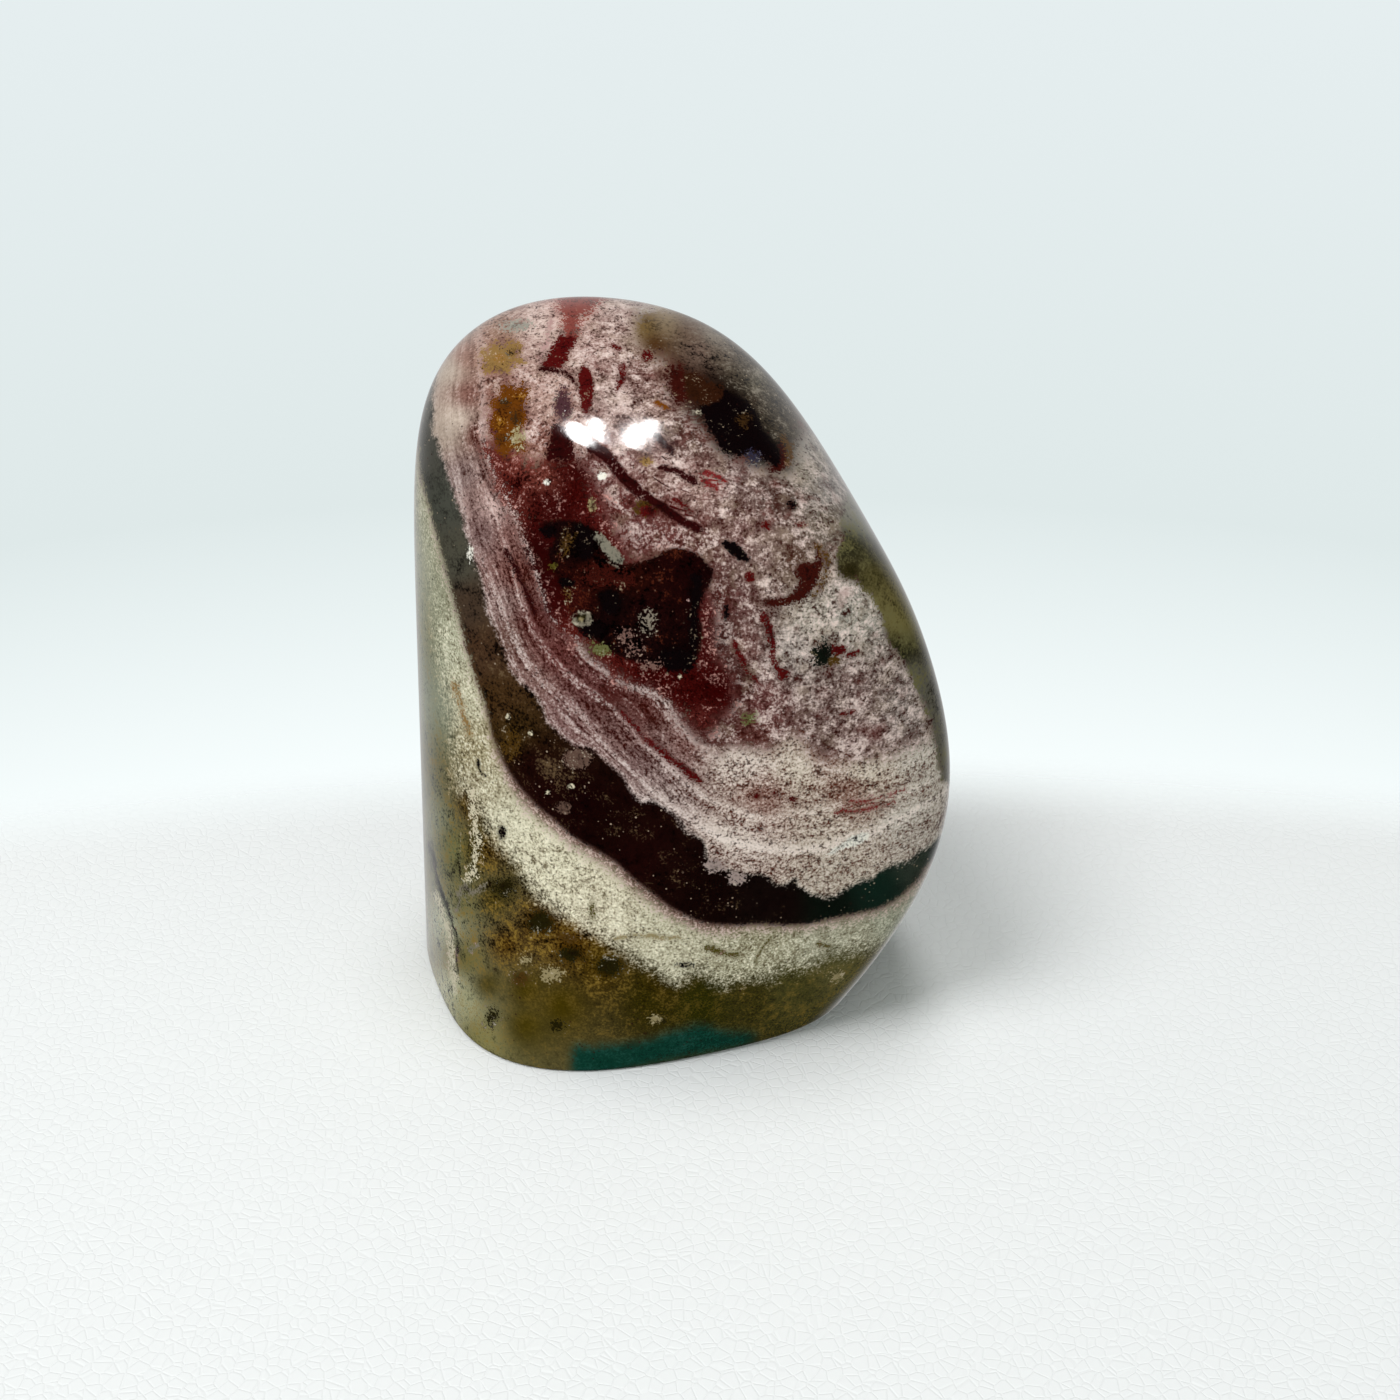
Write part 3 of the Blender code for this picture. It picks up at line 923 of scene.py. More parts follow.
# %% Seams: colour, edge in mm, half width at the start and the end in pixels, places
SEAMS = [
    ("maroon", 0.15, 7.0, 4.0, [(592, 446), (611, 460), (625, 480), (645, 495), (666, 511), (700, 530)]),
    ("oxblood", 0.25, 1.8, 1.2, [(673, 499), (693, 513)]),
    ("maroon", 0.2, 2.2, 1.6, [(539, 370), (556, 371), (566, 374), (574, 382)]),
    ("oxblood", 0.3, 4.2, 2.4, [(624, 366), (622, 378), (619, 391)]),
    ("oxblood", 0.25, 2.4, 1.8, [(611, 344), (620, 349)]),
    ("maroon", 0.2, 4.0, 2.2, [(656, 436), (673, 454)]),
    ("maroon", 0.2, 3.4, 4.0, [(660, 467), (677, 470), (695, 482)]),
    ("red", 0.25, 3.0, 2.0, [(703, 472), (716, 475), (728, 482)]),
    ("red", 0.25, 2.6, 1.8, [(703, 482), (718, 489)]),
    ("rust", 0.25, 2.4, 1.8, [(656, 403), (668, 409)]),
    ("oxblood", 0.3, 3.0, 1.2, [(734, 643), (740, 657), (748, 673), (762, 685)]),
    ("oxblood", 0.35, 3.4, 2.4, [(764, 614), (769, 633), (773, 651), (775, 663), (781, 675)]),
    ("oxblood", 0.25, 2.2, 1.4, [(848, 656), (860, 652)]),
    ("oxblood", 0.3, 2.8, 2.0, [(842, 714), (854, 710)]),
    ("maroon", 0.3, 2.8, 1.8, [(507, 551), (523, 586), (535, 614)]),
    ("oxblood", 0.4, 2.4, 3.2, [(621, 712), (643, 735), (666, 755), (686, 771), (700, 780)]),
    ("red", 0.35, 1.2, 0.9, [(848, 802), (872, 799), (905, 789)]),
    ("red", 0.35, 1.1, 0.8, [(836, 812), (866, 809), (893, 802)]),
    ("white", 0.12, 0.9, 1.8, [(828, 855), (842, 848), (852, 841)]),
    ("ochre", 0.5, 2.0, 1.4, [(455, 684), (462, 704), (470, 735)]),
    ("black", 0.15, 1.6, 1.2, [(477, 761), (480, 771), (486, 776)]),
    ("tan", 0.3, 1.4, 1.1, [(615, 939), (631, 936), (656, 937), (680, 938)]),
    ("olive", 0.4, 2.6, 2.0, [(707, 947), (722, 952), (738, 955)]),
    ("olive", 0.2, 1.2, 1.0, [(772, 937), (764, 947), (756, 962)]),
    ("olive", 0.3, 1.6, 1.2, [(818, 944), (832, 946)]),
    ("pale_grey", 0.3, 2.2, 1.8, [(458, 894), (463, 888), (472, 893), (486, 886)]),
    ("grey_green", 0.3, 1.8, 1.4, [(460, 894), (458, 911)]),
    ("black", 0.25, 1.7, 1.1, [(428, 842), (436, 870), (440, 890), (448, 911), (457, 938), (458, 972)]),
    ("cream", 0.35, 2.2, 2.0, [(436, 893), (443, 915), (451, 940), (453, 965), (455, 992)]),
    ("cream", 0.6, 1.4, 2.2, [(470, 790), (475, 822), (477, 850), (470, 880)]),
    ("grey_green", 0.3, 1.6, 1.4, [(468, 951), (474, 946), (478, 943)]),
    ("pink", 0.4, 2.4, 1.8, [(551, 321), (547, 342), (539, 358)]),
    ("ochre_brown", 0.5, 2.6, 2.0, [(783, 437), (788, 450), (788, 464)]),
    ("ochre_brown", 0.5, 2.4, 2.0, [(817, 545), (827, 560), (824, 580), (814, 597)]),
    ("brown", 0.15, 0.8, 0.5, [(578, 533), (569, 547), (563, 560)]),
    ("brown", 0.15, 0.7, 0.5, [(571, 533), (563, 545), (558, 556)]),
]
print("seams:", len(SEAMS))

# %% [markdown]
# ## From the lists to the points
# Of all the spots and splinters, a point keeps only the one that it is deepest inside, with its colour
# and its edge. The seams are handled in the same way. Small things end a few millimetres behind the
# front, so they don't turn into long stripes down the sides.

# %% Pieces on the points, in mm
FAR_OUTSIDE = -9.0
PIECE_REACH = 4
FADE_PER_MM = 0.6
NEAR_DEPTH = 30


def near(corners, margin):
    """Return the numbers of the points whose place is within a margin in pixels of the corners' box."""
    corners = np.array(corners, dtype=float)
    within = (place > corners.min(axis=0) - margin) & (place < corners.max(axis=0) + margin)
    return np.flatnonzero(within.all(axis=1) & (depth < NEAR_DEPTH))


def spot_inside(where, across, down, half_width, half_height):
    """Return the distance in mm inside an oval: its smaller half width times what is left of 1 after
    the place's distance in half widths."""
    offset = (place[where] - (across, down)) / (half_width, half_height)
    return min(half_width, half_height) * (1 - np.linalg.norm(offset, axis=1)) / PIXELS_PER_MM


piece_inside = np.full(len(points), FAR_OUTSIDE)
piece_colour = np.zeros((len(points), 4))
fade = FADE_PER_MM * np.maximum(depth - PIECE_REACH, 0)


def keep_deepest(where, inside, colour, edge):
    """Write a piece's distance, colour and edge where it is deeper than what the points hold so far."""
    inside = inside - fade[where]
    better = where[inside > piece_inside[where]]
    piece_colour[better] = (*linear(PIECE_COLOURS[colour])[:3], edge)
    piece_inside[where] = np.maximum(inside, piece_inside[where])


for colour, edge, corners in SPLINTERS:
    where = near(corners, margin=12)
    keep_deepest(where, inside_outline(place[where], corners), colour, edge)
print("points in a splinter:", int((piece_inside > 0).sum()))

# %% [markdown]
# The camera doesn't see the back, but the same rock goes on there, so it has broken pieces of its own.
# Each is a ball of the rock round a point of the back, given by its direction from the heart, and the
# surface cuts through it. It is pressed a little flat, and the wander field pulls it out of round.

# %% Pieces in the back: azimuth, elevation, radius in mm, colour, edge in mm
PRESSED = (1.0, 1.0, 1.35)
OUT_OF_ROUND = 0.3
OUT_OF_ROUND_WAVE = 9
BACK_PIECES = [
    (150, 22, 7.5, "crescent", 0.5), (158, 25, 4.0, "black", 0.5), (176, 38, 4.5, "ochre", 0.6),
    (196, 14, 6.5, "maroon", 0.5), (188, 8, 3.0, "dark_brown", 0.6), (208, 30, 5.0, "oxblood", 0.4),
    (170, -4, 5.5, "maroon", 0.4), (178, 2, 2.5, "tan", 0.4), (140, 44, 4.0, "gold", 0.6),
    (214, 2, 3.5, "moss", 0.5), (228, -12, 5.0, "dark_olive", 0.6), (250, 18, 6.0, "olive", 0.8),
    (262, -8, 8.0, "dark_olive", 0.9), (276, 30, 4.5, "tan", 0.9), (285, -20, 6.0, "olive", 0.9),
    (120, 30, 3.5, "dark_olive", 0.6), (104, -6, 4.0, "tan", 0.8), (96, 14, 5.0, "dark_olive", 0.8),
]
for azimuth, elevation, radius, colour, edge in BACK_PIECES:
    middle = surface_point(np.array([azimuth]), np.array([elevation]))
    distance = np.linalg.norm((points - middle) * PRESSED, axis=1)
    bulge = OUT_OF_ROUND * radius * wander(points, OUT_OF_ROUND_WAVE, seed=azimuth)
    inside = radius - distance + bulge + FAR_OUTSIDE * (1 - hidden)
    better = inside > piece_inside
    piece_colour[better] = (*linear(PIECE_COLOURS[colour])[:3], edge)
    piece_inside = np.maximum(inside, piece_inside)
print("points in a piece, with the back's:", int((piece_inside > 0).sum()))

# %% [markdown]
# The spots come second and in a record of their own, because some of them lie on a splinter or on
# another spot, as a crystal does in the dark patch. A later spot lies over an earlier one.

# %% Spots on the points
spot_value = np.full(len(points), FAR_OUTSIDE)
spot_colour = np.zeros((len(points), 4))
for across, down, half_width, half_height, colour, edge in SPOTS:
    corners = [(across - half_width, down - half_height), (across + half_width, down + half_height)]
    where = near(corners, margin=8)
    inside = spot_inside(where, across, down, half_width, half_height) - fade[where]
    on_top = (inside > 0) | (inside > spot_value[where])
    spot_value[where[on_top]] = inside[on_top]
    spot_colour[where[on_top]] = (*linear(PIECE_COLOURS[colour])[:3], edge)
print("points in a spot:", int((spot_value > 0).sum()))

# %% [markdown]
# The seams come last. A seam keeps its place by two numbers: how far a point lies to its side, and how wide
# the seam is there.


# %% Seams on the points
def along_seam(places, curve, start_half, end_half):
    """Return the signed distance to the side of a seam and its half width, both in mm.

    The nearest straight step of the seam gives the sideways distance. Its sign is the side on which the
    place lies. The half width runs evenly from start to end, and past either end it loses the distance
    by which the place lies beyond it.
    """
    steps = np.diff(curve, axis=0)
    lengths = np.linalg.norm(steps, axis=1)
    travelled = np.concatenate([[0], np.cumsum(lengths)]) / lengths.sum()
    best = np.full(len(places), 1e9)
    sideways = np.zeros(len(places))
    half = np.zeros(len(places))
    for index, (start, step, length) in enumerate(zip(curve[:-1], steps, lengths)):
        offset = places - start
        along = offset @ step / length
        across = (offset[:, 0] * step[1] - offset[:, 1] * step[0]) / length
        held = np.clip(along, 0, length)
        distance = np.hypot(along - held, across)
        closer = distance < best
        best = np.where(closer, distance, best)
        beyond = np.zeros(len(places))
        if index == 0:
            beyond = np.maximum(beyond, -along)
        if index == len(steps) - 1:
            beyond = np.maximum(beyond, along - length)
        side = np.where(beyond > 0, across, np.sign(across) * distance)
        share = travelled[index] + (travelled[index + 1] - travelled[index]) * held / length
        width = start_half + (end_half - start_half) * share - beyond
        sideways = np.where(closer, side, sideways)
        half = np.where(closer, width, half)
    return sideways / PIXELS_PER_MM, half / PIXELS_PER_MM


seam_side = np.full(len(points), -FAR_OUTSIDE)
seam_half = np.full(len(points), FAR_OUTSIDE)
seam_colour = np.zeros((len(points), 4))
for colour, edge, start_half, end_half, places_along in SEAMS:
    where = near(places_along, margin=10)
    side, half = along_seam(place[where], curve_through(places_along), start_half, end_half)
    half = half - fade[where]
    better = half - np.abs(side) > seam_half[where] - np.abs(seam_side[where])
    seam_side[where[better]] = side[better]
    seam_half[where[better]] = half[better]
    seam_colour[where[better]] = (*linear(PIECE_COLOURS[colour])[:3], edge)
print("points in a seam:", int((seam_half > np.abs(seam_side)).sum()))

# %% [markdown]
# ## Where the finish changes
# Three more fields say where on the stone a finish changes. The rightness goes from 0 on the left of the
# bowl to 1 on its right. A pink fringe lies under the dark band, none at the far left, 1.4 mm wide from the
# lower left on and half of that on the right. The peppering is how much iron ore the rock above the dark
# band holds: it is full everywhere but in the smooth, pale strip at the upper left.

# %% Fields of the finish, with where each rises in pixels
FRINGE_MM = 1.4
FRINGE_STARTS = (478, 520)
FRINGE_HALVES = (690, 760)
BOWL_MIDDLE = (640, 750)
STRIP_SIDE = (458, 486)
STRIP_FOOT = (430, 520)
STRIP_SMOOTHNESS = 0.85

across, down = place.T
fringe_width = FRINGE_MM * (smooth_step(across, *FRINGE_STARTS) - smooth_step(across, *FRINGE_HALVES) / 2)
rightness = smooth_step(across, *BOWL_MIDDLE)
smooth_strip = (1 - smooth_step(across, *STRIP_SIDE)) * (1 - smooth_step(down, *STRIP_FOOT))
peppering = smooth_step(line_distances["mauve"], 0, 1) * (1 - STRIP_SMOOTHNESS * smooth_strip)
print("widest fringe in mm:", round(float(fringe_width.max()), 2))

# %% [markdown]
# ## Writing the fields into the mesh
# All these numbers go into the mesh as attributes, one value or colour for each point. The material reads
# them by name.


# %% Attributes
def write_values(name, values):
    """Store one number for each point under a name."""
    mesh.attributes.new(name, "FLOAT", "POINT").data.foreach_set("value", values.astype(np.float32))


def write_colours(name, values):
    """Store one linear colour, with its alpha, for each point under a name."""
    flat = values.astype(np.float32).ravel()
    mesh.attributes.new(name, "FLOAT_COLOR", "POINT").data.foreach_set("color", flat)


for name in ("cream", "dark", "mauve", "red"):
    write_values("past_" + name, line_distances[name])
for name, values in patch_distances.items():
    write_values(name, values)
for name, values in ground_values.items():
    write_colours("ground_" + name, values)
write_values("pile", pile)
write_values("fringe", fringe_width)
write_values("rightness", rightness)
write_values("peppering", peppering)
write_values("piece", piece_inside)
write_colours("piece_colour", piece_colour)
write_values("spot", spot_value)
write_colours("spot_colour", spot_colour)
write_values("seam_side", seam_side)
write_values("seam_half", seam_half)
write_colours("seam_colour", seam_colour)
print("attributes:", len(mesh.attributes))

# %% [markdown]
# ## One small function for nodes
# A material is a tree of small steps. One function adds a step, whatever its kind: it takes the settings
# of the step, and for each input either a value or the output of another step.

# %% Node helper
def node(tree, kind, inputs=None, **settings):
    """Add one node. Settings are its properties, and inputs gives each socket, by name or number, a value
    or the output socket that feeds it. The node's outputs are returned."""
    made = tree.nodes.new("ShaderNode" + kind)
    for name, value in settings.items():
        setattr(made, name, value)
    for key, value in (inputs or {}).items():
        if isinstance(value, bpy.types.NodeSocket):
            tree.links.new(value, made.inputs[key])
        else:
            made.inputs[key].default_value = value
    return made.outputs


jasper = bpy.data.materials.new("Polished ocean jasper")
jasper.use_nodes = True
tree = jasper.node_tree
tree.nodes.clear()
print("materials:", ", ".join(material.name for material in bpy.data.materials))

# %% [markdown]
# ## The grain of the rock
# Jasper is quartz too fine to see, full of iron and clay. What shows on a cut is a pepper of grains of
# about a third of a millimetre, gathered into flakes of one and clots of two or three. Each size is a noise
# whose scale is worked out from millimetres. The coordinates are the stone's own, so the grain goes round
# the sides like the real one. The pepper and the hues are noises of their own: they read another slice of
# a noise in four dimensions, so that dark ore and colour don't follow the light grains.

# %% Grain, in mm
GRAIN_MM = 0.35
PEPPER_MM = 0.35
FLAKE_MM = 1.3
CLOT_MM = 2.8
BLOTCH_MM = 6.5

surface = node(tree, "TexCoord")["Object"]
in_mm = node(tree, "VectorMath", {0: surface, "Scale": 1000.0}, operation="SCALE")["Vector"]
grain = node(tree, "TexNoise", {"Vector": in_mm, "Scale": 1 / GRAIN_MM, "Detail": 2.0, "Roughness": 0.7})[0]
flakes = node(tree, "TexNoise", {"Vector": in_mm, "Scale": 1 / FLAKE_MM, "Detail": 4.0, "Roughness": 0.75})[0]
clots = node(tree, "TexNoise", {"Vector": in_mm, "Scale": 1 / CLOT_MM, "Detail": 4.0, "Roughness": 0.65})[0]
blotches = node(tree, "TexNoise", {"Vector": in_mm, "Scale": 1 / BLOTCH_MM, "Detail": 3.0,
                                   "Roughness": 0.6})[0]
pepper = node(tree, "TexNoise", {"Vector": in_mm, "W": 5.0, "Scale": 1 / PEPPER_MM, "Detail": 1.5},
              noise_dimensions="4D")[0]
hues = node(tree, "TexNoise", {"Vector": in_mm, "W": 9.0, "Scale": 1 / CLOT_MM, "Detail": 4.0,
                               "Roughness": 0.65}, noise_dimensions="4D")[0]
print("grain sizes in mm:", GRAIN_MM, FLAKE_MM, CLOT_MM, BLOTCH_MM)

# %% [markdown]
# ## Streaks along the layers
# The thin layers inside the mauve show as streaks. They are noise on stretched coordinates: one cycle for
# each two thirds of a millimetre of the pile's height, and about fourteen times as long along the layers.
# The height sways with the clots and blotches first, so that the streaks waver.

# %% Streaks
STREAKS_PER_MM = 1.5
SHARE_ALONG = 0.07

streak_sway = node(tree, "Math", {0: clots, 1: 0.6}, operation="MULTIPLY")[0]
pile_sway = node(tree, "Math", {0: blotches, 1: 1.6, 2: streak_sway}, operation="MULTIPLY_ADD")[0]
pile_socket = node(tree, "Attribute", attribute_name="pile")["Fac"]
wavy_pile = node(tree, "Math", {0: pile_socket, 1: pile_sway}, operation="ADD")[0]
across_layers = node(tree, "CombineXYZ", {0: wavy_pile})[0]
along_layers = node(tree, "VectorMath", {0: in_mm, "Scale": SHARE_ALONG}, operation="SCALE")["Vector"]
streak_place = node(tree, "VectorMath", {0: along_layers, 1: across_layers}, operation="ADD")["Vector"]
streaks = node(tree, "TexNoise", {"Vector": streak_place, "Scale": STREAKS_PER_MM, "Detail": 4.0,
                                  "Roughness": 0.7})[0]
print("streaks along the layers are longer than across by:", round(1 / SHARE_ALONG, 1))

# %% [markdown]
# ## Mixing grain into a ground colour
# Each layer has a ground colour, a darker colour for its dark grains and a lighter one for its light
# grains. A grain value is added up from the noises, with a share of each. Where it is low the dark grain
# shows, and where it is high the light one.


# %% Mixtures and grains
def mixture(*shares):
    """Return 0.5 plus the sum of each noise's distance from 0.5 times its share. The shares are first
    divided by the root of the sum of their squares, so that every mixture varies equally much."""
    whole = math.sqrt(sum(share**2 for _, share in shares))
    total = 0.5 - 0.5 * sum(share for _, share in shares) / whole
    for noise, share in shares:
        total = node(tree, "Math", {0: noise, 1: share / whole, 2: total}, operation="MULTIPLY_ADD")[0]
    return total


def grained(ground, value, dark, light, reach=0.15, light_start=0.5, most=1.0):
    """Return the ground colour, going over to dark as the grain value falls from 0.5 by its reach, and to
    light as it rises by as much above light_start. The light colour covers the ground by most at most, so
    the light grains of a dark ground stay darker than those of a pale one."""
    sink = node(tree, "MapRange", {"Value": value, "From Min": 0.5, "From Max": 0.5 - reach})[0]
    rise = node(tree, "MapRange", {"Value": value, "From Min": light_start, "From Max": light_start + reach,
                                   "To Max": most})[0]
    darker = node(tree, "Mix", {0: sink, 6: ground, 7: linear(dark)}, data_type="RGBA")[2]
    return node(tree, "Mix", {0: rise, 6: darker, 7: linear(light)}, data_type="RGBA")[2]


print("in a mixture of two equal noises, the share of each is", round(1 / math.sqrt(2), 2))

# %% [markdown]
# A layer takes its ground colour from the points, and how grainy it is as well. It is then laid over what
# lies below it, with an edge made from its distance and some noise.


# %% Layers and edges
def layer(name, value, dark, light, reach=0.15, light_start=0.5, most=1.0):
    """Return a layer's colour: its ground colour, grained, with the grain value's distance from 0.5 times
    the graininess in the ground colour's alpha."""
    ground = node(tree, "Attribute", attribute_name="ground_" + name)
    offset = node(tree, "Math", {0: value, 1: 0.5}, operation="SUBTRACT")[0]
    local = node(tree, "Math", {0: offset, 1: ground["Alpha"], 2: 0.5}, operation="MULTIPLY_ADD")[0]
    return grained(ground["Color"], local, dark, light, reach, light_start, most)


def laid_over(below, above, distance, noise, raggedness, softness):
    """Return one colour laid over another where a distance is above 0. The distance is pushed in or out
    by the noise times the raggedness and passed through a smooth step of twice the softness, all in mm."""
    shift = node(tree, "Math", {0: noise, 1: raggedness, 2: -raggedness / 2}, operation="MULTIPLY_ADD")[0]
    pushed = node(tree, "Math", {0: distance, 1: shift}, operation="ADD")[0]
    mask = node(tree, "MapRange", {"Value": pushed, "From Min": -softness, "From Max": softness},
                interpolation_type="SMOOTHSTEP")[0]
    return node(tree, "Mix", {0: mask, 6: below, 7: above}, data_type="RGBA")[2]


FIELD_NAMES = ["past_cream", "past_dark", "past_mauve", "past_red", "fringe", "rightness", "peppering",
               "piece", "spot", "seam_side", "seam_half", *PATCHES]
fields = {name: node(tree, "Attribute", attribute_name=name)["Fac"] for name in FIELD_NAMES}
print("fields read by the material:", len(fields))

# %% [markdown]
# ## Specks
# Pinpoints of another mineral are strewn through the rock: black iron ore in the pale rock and pale
# quartz in the dark rock. A speck is the middle of a cell in a network of cells about half a millimetre
# wide. Each cell has a colour by chance, and its red and green decide whether it holds a pale or a black
# speck. Where the blotches are thick, more cells hold one.

# %% Specks
SPECK_CELL_MM = 0.55
cells = node(tree, "TexVoronoi", {"Vector": in_mm, "Scale": 1 / SPECK_CELL_MM})
chances = node(tree, "SeparateColor", {0: cells["Color"]})


def specks(chance, fewest):
    """Return a mask of specks. A cell's chance plus 0.8 times the blotches has to pass fewest, and the
    more it does, the larger the speck is, up to 0.28 of a cell."""
    gathered = node(tree, "Math", {0: blotches, 1: 0.8, 2: chance}, operation="MULTIPLY_ADD")[0]
    size = node(tree, "MapRange", {"Value": gathered, "From Min": fewest, "From Max": fewest + 0.2,
                                   "To Max": 0.28})[0]
    inside = node(tree, "Math", {0: size, 1: cells["Distance"]}, operation="SUBTRACT")[0]
    return node(tree, "MapRange", {"Value": inside, "From Min": -0.02, "From Max": 0.08, "To Max": 0.85})[0]


pale_specks = specks(chances[0], fewest=1.21)
black_specks = specks(chances[1], fewest=1.2)
print("speck cells in mm:", SPECK_CELL_MM)

# %% [markdown]
# ## The layers, from the base up
# The layers are laid over one another in the order in which they lie in the stone: the olive base, the
# cream, the dark band, the mauve and then the pink rock of the upper half. Each one covers everything
# past its line, so one edge is enough for each.

# %% Base, cream and dark layers
edge_noise = mixture((grain, 0.6), (flakes, 0.8), (clots, 0.8))
crumb_noise = mixture((grain, 1.0), (flakes, 0.7))

base_value = mixture((grain, 0.8), (flakes, 0.7), (clots, 0.7))
base = layer("base", base_value, "120a00", "80652a")

cream_value = mixture((grain, 1.0), (flakes, 0.5), (clots, 0.4))
cream = layer("cream", cream_value, "5c4c34", "efe8d2")

dark_value = mixture((grain, 0.7), (flakes, 0.7), (clots, 0.9), (blotches, 0.6))
dark = layer("dark", dark_value, "030000", "5e4a34", 0.14, 0.56)

cream_pepper = node(tree, "Math", {0: flakes, 1: 0.5, 2: pepper}, operation="MULTIPLY_ADD")[0]
cream_pepper = node(tree, "MapRange", {"Value": cream_pepper, "From Min": 0.66, "From Max": 0.56,
                                       "To Max": 0.7})[0]
cream = node(tree, "Mix", {0: cream_pepper, 6: cream, 7: linear("4a3c26")}, data_type="RGBA")[2]

fringe = grained(linear("7c5f56"), crumb_noise, "2c120e", "c4aea4", 0.09)
fringe_distance = node(tree, "Math", {0: fields["fringe"], 1: fields["past_dark"]}, operation="ADD")[0]
rock = laid_over(base, cream, fields["past_cream"], crumb_noise, 6.0, 1.6)
rock = laid_over(rock, fringe, fringe_distance, crumb_noise, 7.0, 0.8)
dark = node(tree, "Mix", {0: pale_specks, 6: dark, 7: linear("9a8876")}, data_type="RGBA")[2]
rock = laid_over(rock, dark, fields["past_dark"], crumb_noise, 3.0, 0.4)
print("nodes with the three lowest layers:", len(tree.nodes))

# %% [markdown]
# ## Bands of the mauve
# A few of the mauve's thin layers are paler or redder than the rest all along the bowl. They are kept as
# a list of heights in the pile, each with a lightness that is added to the grain value. The left side of
# the bowl has a list of its own, and the right, where the layers lie flat and pale, has another.

# %% Bands: height in the pile in mm, lightness
BANDS_LEFT = [(-1.0, 0.56), (0.4, 0.54), (1.6, 0.47), (2.8, 0.44), (3.3, 0.60), (3.9, 0.56), (4.6, 0.42),
              (6.2, 0.34), (6.8, 0.54), (7.3, 0.52), (8.0, 0.36), (9.4, 0.30), (10.0, 0.46), (10.5, 0.70),
              (11.2, 0.68), (11.9, 0.40)]
BANDS_RIGHT = [(-1.0, 0.46), (1.4, 0.42), (2.8, 0.50), (3.5, 0.70), (4.4, 0.48), (6.0, 0.42), (6.8, 0.58),
               (7.4, 0.42), (8.4, 0.39), (9.2, 0.48), (10.0, 0.52), (11.0, 0.47)]
LOWEST_BAND = -1.0
HIGHEST_BAND = 12.0

band_sway = node(tree, "Math", {0: crumb_noise, 1: 1.0, 2: -0.5}, operation="MULTIPLY_ADD")[0]
band_sway = node(tree, "Math", {0: clots, 1: 0.7, 2: band_sway}, operation="MULTIPLY_ADD")[0]
band_pile = node(tree, "Math", {0: pile_socket, 1: band_sway}, operation="ADD")[0]
band_place = node(tree, "MapRange", {"Value": band_pile, "From Min": LOWEST_BAND + 0.5,
                                     "From Max": HIGHEST_BAND + 0.5})[0]
band_values = []
for stops in (BANDS_LEFT, BANDS_RIGHT):
    band_values.append(node(tree, "ValToRGB", {0: band_place})[0])
    ramp = tree.nodes[-1].color_ramp
    for height, lightness in stops[1:-1]:
        ramp.elements.new((height - LOWEST_BAND) / (HIGHEST_BAND - LOWEST_BAND))
    for element, (height, lightness) in zip(ramp.elements, stops):
        element.position = (height - LOWEST_BAND) / (HIGHEST_BAND - LOWEST_BAND)
        element.color = (lightness, lightness, lightness, 1.0)
bands = node(tree, "Mix", {0: fields["rightness"], 6: band_values[0], 7: band_values[1]}, data_type="RGBA")[2]
print("bands:", len(BANDS_LEFT), "on the left and", len(BANDS_RIGHT), "on the right")

# %% [markdown]
# On the left the mauve is dark and streaked, and on the right it is pale and grainy. So its grain value and
# its colour are made for each side and mixed across the middle.

# %% Mauve layers
streaky = mixture((grain, 0.9), (flakes, 0.4), (streaks, 0.8))
grainy = mixture((grain, 1.0), (flakes, 0.5), (streaks, 0.35))
mauve_speckle = node(tree, "Mix", {0: fields["rightness"], 2: streaky, 3: grainy})[0]
mauve_start = node(tree, "Math", {0: mauve_speckle, 1: -0.375}, operation="ADD")[0]
mauve_value = node(tree, "Math", {0: bands, 1: 0.75, 2: mauve_start}, operation="MULTIPLY_ADD")[0]
mauve_left = layer("mauve", mauve_value, "320803", "e0cfca", 0.18, 0.5, 0.78)
mauve_right = layer("mauve", mauve_value, "552a20", "e8d8d0", 0.18, 0.5, 0.85)
mauve = node(tree, "Mix", {0: fields["rightness"], 6: mauve_left, 7: mauve_right}, data_type="RGBA")[2]
rock = laid_over(rock, mauve, fields["past_mauve"], edge_noise, 2.6, 0.5)
print("nodes with the mauve:", len(tree.nodes))

# %% [markdown]
# The rock above the mauve is granular: white and pink grains, with a little tan and red in clots of their
# own. Grains of dark iron ore pepper it and the mauve. The deep red rock round the dark patch comes last.

# %% Pink and red rock
inner_value = mixture((grain, 0.6), (flakes, 0.9), (clots, 0.9))
inner = layer("inner", inner_value, "300a04", "e8d2cb", 0.19, 0.49, 0.8)
tan_share = node(tree, "MapRange", {"Value": hues, "From Min": 0.52, "From Max": 0.68, "To Max": 0.35})[0]
red_share = node(tree, "MapRange", {"Value": hues, "From Min": 0.48, "From Max": 0.34, "To Max": 0.45})[0]
inner = node(tree, "Mix", {0: tan_share, 6: inner, 7: linear("a08c7a")}, data_type="RGBA")[2]
inner = node(tree, "Mix", {0: red_share, 6: inner, 7: linear("6f3f3b")}, data_type="RGBA")[2]
rock = laid_over(rock, inner, fields["past_red"], crumb_noise, 9.0, 0.9)

pepper_sum = node(tree, "Math", {0: flakes, 1: 0.8, 2: pepper}, operation="MULTIPLY_ADD")[0]
pepper_mask = node(tree, "MapRange", {"Value": pepper_sum, "From Min": 0.83, "From Max": 0.71,
                                      "To Max": 0.82})[0]
pepper_mask = node(tree, "Math", {0: pepper_mask, 1: fields["peppering"]}, operation="MULTIPLY")[0]
rock = node(tree, "Mix", {0: pepper_mask, 6: rock, 7: linear("30100a")}, data_type="RGBA")[2]

